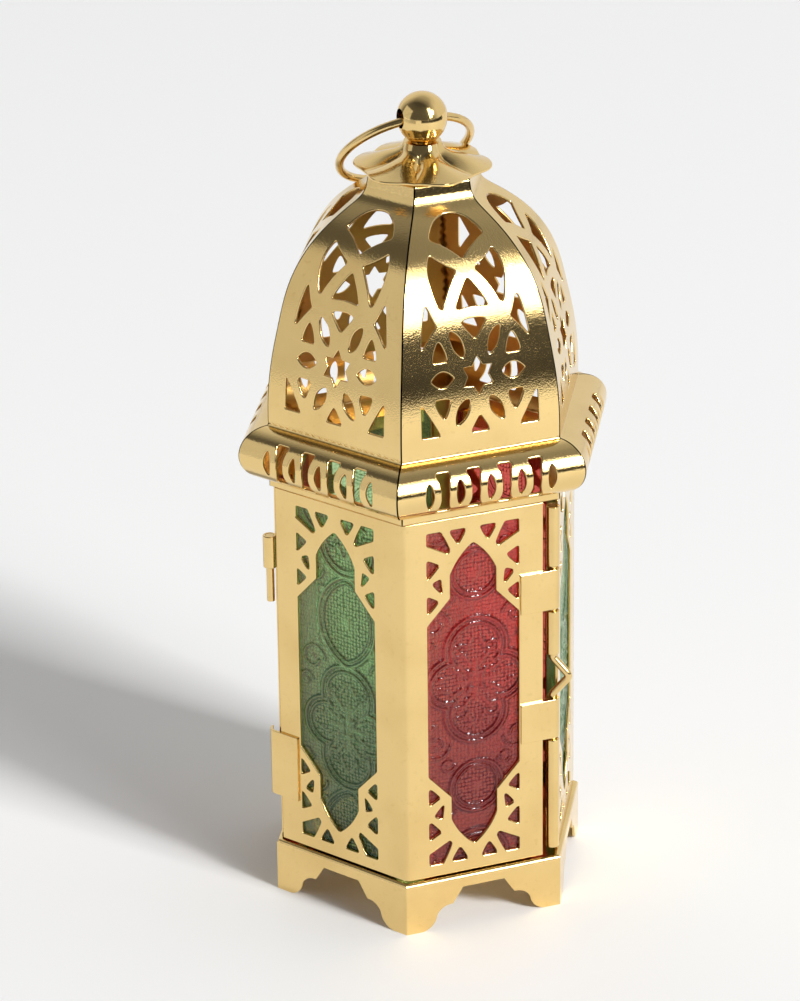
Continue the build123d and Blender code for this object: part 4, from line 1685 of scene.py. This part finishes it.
@dataclass
class Finial:
    """Crown, ball and hanging ring on the roof's neck."""

    neck_top: float = 149.0
    crown_top: float = 154.5
    sheet: float = SHEET
    lobe_reach: float = 8.0
    lobe_radius: float = 5.4
    cusp: float = 11.9
    seat: float = 9.7
    rim_break: float = 0.12
    valley_line: tuple[Point2, ...] = (
        (3.6, 5.0), (3.75, 3.9), (4.2, 2.9), (5.2, 1.9), (7.0, 1.15), (11.9, 0.35), (14.0, 0.1),
    )
    petal_line: tuple[Point2, ...] = (
        (3.6, 5.0), (3.8, 4.3), (4.3, 3.6), (5.3, 3.1), (6.8, 2.7), (7.5, 2.5), (13.4, 0.5), (14.0, 0.3),
    )
    stem: float = 3.6
    screw: float = 1.55
    ball_middle: float = 159.4
    globe_middle: float = 159.25
    ball: float = 4.88
    ball_foot: Point2 = (2.1, 0.2)
    ball_turn: float = -57.0
    ball_drop: float = 1.1
    bore: float = 1.9
    pole: float = 0.002
    ring: float = 13.1
    wire: float = 0.84
    hang: float = 0.6
    lean: float = 44.4
    side: float = 120.0

    def crown(self) -> bpy.types.Object:
        """Build the lobed crown with its flare.

        Returns:
            The piece.
        """
        count = 192
        angle = np.arange(count) * 2 * math.pi / count
        near = (angle + HALF_TURN) % (2 * HALF_TURN) - HALF_TURN
        share = (np.abs(near) / HALF_TURN) ** 2
        reach = np.sqrt(self.lobe_radius**2 - (self.lobe_reach * np.sin(near)) ** 2)
        reach = reach + self.lobe_reach * np.cos(near)
        reach = reach + (self.cusp - reach.min()) * share**2
        low, flat, edge = self.neck_top, self.neck_top + self.sheet, self.rim_break

        def lifted(run: float) -> tuple[np.ndarray, np.ndarray]:
            """Ring of the upper skin.

            Args:
                run: Share of the way from the rim to the stem.

            Returns:
                The ring's radii and heights.
            """
            radius = reach + (self.stem - reach) * run
            valley, petal = (np.interp(radius, *zip(*line)) for line in (self.valley_line, self.petal_line))
            return radius, flat + petal + (valley - petal) * share

        rim, brow = lifted(0.0)
        under = np.maximum(brow - self.sheet, low)
        inner, foot = np.full(count, self.screw), np.full(count, low)
        below = [(inner, foot), (self.seat / np.cos(near), foot), (rim - edge, under)]
        lip = [(rim, under + edge), (rim, brow - edge)]
        above = [lifted(max(0.012, run)) for run in np.linspace(0.0, 1.0, 22) ** 0.8]
        profile = below + lip + above + [(inner, np.full(count, self.crown_top))]
        out = np.column_stack([np.cos(angle), np.sin(angle)])
        points = [np.column_stack([radius[:, None] * out, height]) for radius, height in profile]
        draft = MeshDraft()
        # The rings below the rim carry the inside mask, which paints the crown's underside in the darker gold
        # as shade.
        rings = [draft.add(ring, float(level < len(below))) for level, ring in enumerate(points)]
        bands = [self._band_normal(ring, after) for ring, after in zip(points, points[1:] + points[:1])]
        smooth = range(len(below + lip), len(points) - 2)
        for index, band in enumerate(bands):
            follow = (index + 1) % len(points)
            here = band + bands[index - 1] if index in smooth and index - 1 in smooth else band
            there = band + bands[follow] if index in smooth and follow in smooth else band
            draft.strip(rings[index], rings[follow], here, there)
        return draft.build("crown_leaf", INNER)

    @staticmethod
    def _band_normal(near: np.ndarray, far: np.ndarray) -> np.ndarray:
        """Normals along the band between two rings."""
        normal = np.cross(np.roll(near, -1, axis=0) - np.roll(near, 1, axis=0), far - near)
        return normal / np.maximum(np.linalg.norm(normal, axis=1), 1e-9)[:, None]

    def globe(self) -> bpy.types.Object:
        """Build the turned ball with its cross bore.

        Returns:
            The piece.
        """
        turn = np.linspace(math.radians(self.ball_turn), math.pi / 2 - self.pole, 40)
        drop = np.where(turn < 0.0, self.ball_drop, 1.0)
        arc = np.column_stack([np.cos(turn), np.sin(turn) * drop]) * self.ball + [0.0, self.globe_middle]
        low, (wide, tall) = self.crown_top, self.ball_foot
        foot = np.array([(self.pole, low), (wide, low), (wide, low + tall)])
        draft = MeshDraft()
        draft.turned(np.vstack([foot, arc]), np.zeros(3), UP, 72)
        piece = draft.build("ball_turned")
        bar, reach = MeshDraft(), 2 * self.ball
        rod = np.array([(self.pole, -reach), (self.bore, -reach), (self.bore, reach), (self.pole, reach)])
        bar.turned(rod, self.ball_middle * UP, self.axle, 40)
        cutter = bar.build("ball_bore")
        cut = piece.modifiers.new("bore", "BOOLEAN")
        cut.operation, cut.object, cut.solver = "DIFFERENCE", cutter, "EXACT"
        mesh = applied(piece, cut)
        bpy.data.objects.remove(cutter)
        mesh.polygons.foreach_set("use_smooth", np.ones(len(mesh.polygons), bool))
        if mesh.has_custom_normals:
            mesh.attributes.remove(mesh.attributes["custom_normal"])
        mesh.set_sharp_from_angle(angle=math.radians(40.0))
        return piece

    @property
    def axle(self) -> np.ndarray:
        """Direction of the ring's wire through the ball."""
        side = math.radians(self.side)
        return np.array([math.sin(side), -math.cos(side), 0.0])

    def ring_piece(self) -> bpy.types.Object:
        """Build the wire ring where it rests on the roof.

        Returns:
            The piece.
        """
        lean, side = math.radians(self.lean), math.radians(self.side)
        fall = np.array([math.cos(side) * math.cos(lean), math.sin(side) * math.cos(lean), -math.sin(lean)])
        sag = (self.ring - math.sqrt(self.ring**2 - self.ball**2)) / 2
        middle = (self.ball_middle - self.hang) * UP + fall * (self.ring - sag)
        section = np.column_stack([self.ring + self.wire * np.cos(ROUND), self.wire * np.sin(ROUND)])
        draft = MeshDraft()
        draft.turned(section, middle, np.cross(fall, self.axle), 128)
        return draft.build("ring_wire")

    def dress(self, finishes: Finishes) -> None:
        """Build the pieces and hand them over.

        Args:
            finishes: The lantern's materials.
        """
        settle(finishes.dress(self.crown(), GOLD_SHEET), Body.LANTERN, GOLD_SHEET.slot, "crown_plate")
        settle(finishes.dress(self.globe(), GOLD_TURNED), Body.LANTERN, GOLD_TURNED.slot, "finial_ball")
        settle(finishes.dress(self.ring_piece(), GOLD_WIRE), Body.RING, GOLD_WIRE.slot, "hang_ring")


@dataclass
class HingeWire:
    """The crimped wire that the door turns on."""

    walls: Walls
    radius: float = 0.8
    end_gap: float = 0.05
    end_break: float = 0.1
    reach: float = 3.4
    half: float = 4.0
    bend_radii: tuple[float, ...] = (0.0, 1.6, 1.3, 1.6)

    def wire(self) -> bpy.types.Object:
        """Build the wire with its V crimp.

        Returns:
            The piece.
        """
        barrels, middle = self.walls.barrels, self.walls.crimp
        stops = [
            (0.0, barrels[0][0] + self.end_gap), (0.0, middle - self.half), (self.reach, middle),
            (0.0, middle + self.half), (0.0, barrels[-1][1] - self.end_gap),
        ]
        edges = [straight(a, b, step) for a, b, step in zip(stops, stops[1:], (1.5, 0.5, 0.5, 1.5))]
        line = SweptLine(joined(edges, self.bend_radii, closed=False))
        hinge = np.array([*self.walls.hinge, 0.0])
        across = np.sin(ROUND)[:, None] * np.array([0.0, 1.0, 0.0])
        normals = [np.cos(ROUND)[:, None] * np.array([nx, 0.0, nz]) + across for nx, nz in line.normals]
        sizes = np.full(len(line.points), self.radius)
        sizes[[0, -1]] -= self.end_break
        draft = MeshDraft()
        rings = [
            draft.add(hinge + np.array([x, 0.0, z]) + size * out)
            for (x, z), size, out in zip(line.points, sizes, normals)
        ]
        for index in range(len(rings) - 1):
            draft.strip(rings[index], rings[index + 1], normals[index], normals[index + 1])
        draft.fan(rings[0][::-1], -UP)
        draft.fan(rings[-1], UP)
        return draft.build("hinge_wire")

    def dress(self, finishes: Finishes) -> None:
        """Build the wire and hand it over.

        Args:
            finishes: The lantern's materials.
        """
        settle(finishes.dress(self.wire(), GOLD_WIRE), Body.LANTERN, GOLD_WIRE.slot, "hinge_pin")


@dataclass
class Studio:
    """Floor, light and camera."""

    azimuth: float = 8.07
    elevation: float = 23.69
    distance: float = 915.1
    target: float = 79.5
    yaw: float = 0.0056
    roll: float = -0.7355
    lens: float = 208.98
    floor_reach: float = 6.0

    @staticmethod
    def card(
        name: str, points: list[tuple[float, ...]], faces: list[tuple[int, ...]], finish: dict[str, object]
    ) -> bpy.types.Object:
        """Make a plain surface of the set.

        Args:
            name: Its name, and that of its material.
            points: Its points, in metres.
            faces: Its faces.
            finish: Values of its shader.

        Returns:
            The object.
        """
        mesh = bpy.data.meshes.new(name)
        mesh.from_pydata(points, [], faces)
        mesh.materials.append(principled(name, finish)[0])
        return placed(name, mesh)

    def floor(self) -> None:
        """Lay the pale floor."""
        r = self.floor_reach
        self.card("floor", [(-r, -r, 0), (r, -r, 0), (r, r, 0), (-r, r, 0)], [(0, 1, 2, 3)], {
            "Base Color": (0.96, 0.96, 0.96, 1), "Roughness": 0.7, "Specular IOR Level": 0.2,
        })

    def flag(self, name: str, azimuths: Point2, radius: float, height: float, level: float) -> None:
        """Stand a low card beside the lantern, out of the camera's sight, for the metal to reflect.

        Args:
            name: Its name.
            azimuths: Its two ends, in degrees from +X.
            radius: Its distance in metres.
            height: Its height in metres.
            level: Its grey level.
        """
        turn = np.radians(np.linspace(*azimuths, 25))
        foot = [(radius * math.cos(a), radius * math.sin(a), 0.002) for a in turn]
        head = [(x, y, height) for x, y, _ in foot]
        count = len(foot)
        faces = [(i + 1, i, i + count, i + 1 + count) for i in range(count - 1)]
        card = self.card(name, foot + head, faces, {
            "Base Color": (level, level, level, 1), "Roughness": 1.0, "Specular IOR Level": 0.0,
        })
        card.visible_camera = card.visible_shadow = card.visible_transmission = card.visible_diffuse = False

    def world(self) -> None:
        """Light the room: a bright sweep behind the lantern, a dark room in front and a dim ceiling."""
        world = bpy.data.worlds.new("room")
        bpy.context.scene.world = world
        world.use_nodes = True
        graph = Graph(world.node_tree)
        where = graph.node("ShaderNodeTexCoord").outputs["Generated"]
        height = graph.node("ShaderNodeSeparateXYZ", {0: where}).outputs["Z"]
        behind = graph.node("ShaderNodeVectorMath", {0: where, 1: (0.35, 0.94, 0.0)}, operation="DOT_PRODUCT")
        back = graph.span(behind.outputs["Value"], (-1.0, 1.0))
        sweep = self._ramp(graph, back, ((0.0, 0.10), (0.40, 0.13), (0.50, 0.40), (0.66, 0.78), (1.0, 0.82)))
        fade = self._ramp(graph, height, ((0.0, 1.0), (0.60, 1.0), (0.80, 0.80), (0.90, 0.56), (1.0, 0.52)))
        graph.feed(world.node_tree.nodes["Background"], {"Color": graph.mix(1.0, sweep, fade, "MULTIPLY")})

    @staticmethod
    def _ramp(graph: Graph, value: bpy.types.NodeSocket, stops: Sequence[Point2]) -> bpy.types.NodeSocket:
        """Grey levels along a value.

        Args:
            graph: The node tree.
            value: Socket of the value.
            stops: Places and levels.

        Returns:
            The colour socket.
        """
        ramp = graph.node("ShaderNodeValToRGB", {"Fac": value})
        while len(ramp.color_ramp.elements) < len(stops):
            ramp.color_ramp.elements.new(0.5)
        for element, (place, level) in zip(ramp.color_ramp.elements, stops):
            element.position, element.color = place, (level, level, level, 1)
        return ramp.outputs["Color"]

    @staticmethod
    def lamp(
        name: str, azimuth: float, elevation: float, distance: float, size: Point2, power: float
    ) -> None:
        """Hang a soft lamp that looks at the lantern.

        Args:
            name: Its name.
            azimuth: Its direction in degrees, from +X.
            elevation: Its height in degrees.
            distance: Its distance in metres.
            size: Its width and height in metres.
            power: Its power in watts.
        """
        data = bpy.data.lights.new(name, "AREA")
        data.shape, data.size, data.size_y, data.energy = "RECTANGLE", size[0], size[1], power
        lamp = placed(name, data)
        a, e = math.radians(azimuth), math.radians(elevation)
        away = Vector((math.cos(a) * math.cos(e), math.sin(a) * math.cos(e), math.sin(e)))
        lamp.location = away * distance + Vector((0, 0, 0.08))
        lamp.rotation_euler = away.to_track_quat("Z", "Y").to_euler()
        lamp.visible_camera = False

    def camera(self) -> None:
        """Set the camera at the photograph's viewing angle."""
        a, e, r = (math.radians(angle) for angle in (self.azimuth, self.elevation, self.roll))
        back = Vector((math.sin(a) * math.cos(e), -math.cos(a) * math.cos(e), math.sin(e)))
        right = Vector((math.cos(a), math.sin(a), 0.0))
        forward = (-back - self.yaw * right).normalized()
        flat = forward.cross(Vector((0, 0, 1))).normalized()
        up = flat.cross(forward)
        x_axis = math.cos(r) * flat + math.sin(r) * up
        y_axis = -math.sin(r) * flat + math.cos(r) * up
        turn = Matrix((x_axis, y_axis, -forward)).transposed().to_4x4()
        data = bpy.data.cameras.new("camera")
        data.sensor_fit, data.sensor_width, data.lens = "HORIZONTAL", 36.0, self.lens
        data.clip_start, data.clip_end = 0.01, 50.0
        camera = placed("camera", data)
        place = back * self.distance + Vector((0, 0, self.target))
        camera.matrix_world = Matrix.Translation(place * MM) @ turn
        bpy.context.scene.camera = camera

    def dress(self) -> None:
        """Set up the floor, the light and the camera."""
        bpy.context.scene.view_settings.view_transform = "Standard"
        self.floor()
        self.world()
        self.flag("dark_flag", azimuths=(-85.0, 20.0), radius=0.66, height=0.14, level=0.06)
        self.flag("grey_flag", azimuths=(-215.0, -110.0), radius=0.52, height=0.13, level=0.5)
        self.lamp("key", azimuth=-31.0, elevation=28.0, distance=8.0, size=(1.6, 1.9), power=650.0)
        self.lamp("strip", azimuth=-40.0, elevation=28.0, distance=8.1, size=(1.9, 6.4), power=150.0)
        self.lamp("left_panel", azimuth=-160.0, elevation=18.0, distance=2.5, size=(2.2, 1.9), power=7.5)
        self.camera()


KEPT_NODES: dict[str, MetalFinish] = {
    "base_stand": GOLD_SHEET,
    "candle_cup": PAN_METAL_IN_PAINTED_SHADE,
    # The candle cup and the neck plate take the pan metal that is painted dark as shade.
    "catch_pin": GOLD_WIRE,
    "neck_plate": PAN_METAL_IN_PAINTED_SHADE,
    "finial_screw": GOLD_TURNED,
}


def corners(box: tuple[Vector, Vector]) -> list[list[float]]:
    """A box's two corners as plain lists."""
    return [[float(value) for value in corner] for corner in box]


def main() -> None:
    """Build the lantern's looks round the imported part."""
    logging.basicConfig(level=logging.INFO, format="%(message)s")
    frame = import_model()
    finishes = Finishes()
    tree = polar_repeat()
    walls = Walls()
    walls.dress(finishes)
    Roof().dress(finishes, tree)
    Panes().dress(finishes, tree)
    Finial().dress(finishes)
    HingeWire(walls).dress(finishes)
    for name, finish in KEPT_NODES.items():
        for slot in frame["nodes"][name].material_slots:
            slot.material = finishes.materials[finish.slot]
    Studio().dress()


if __name__ == "__main__":
    main()
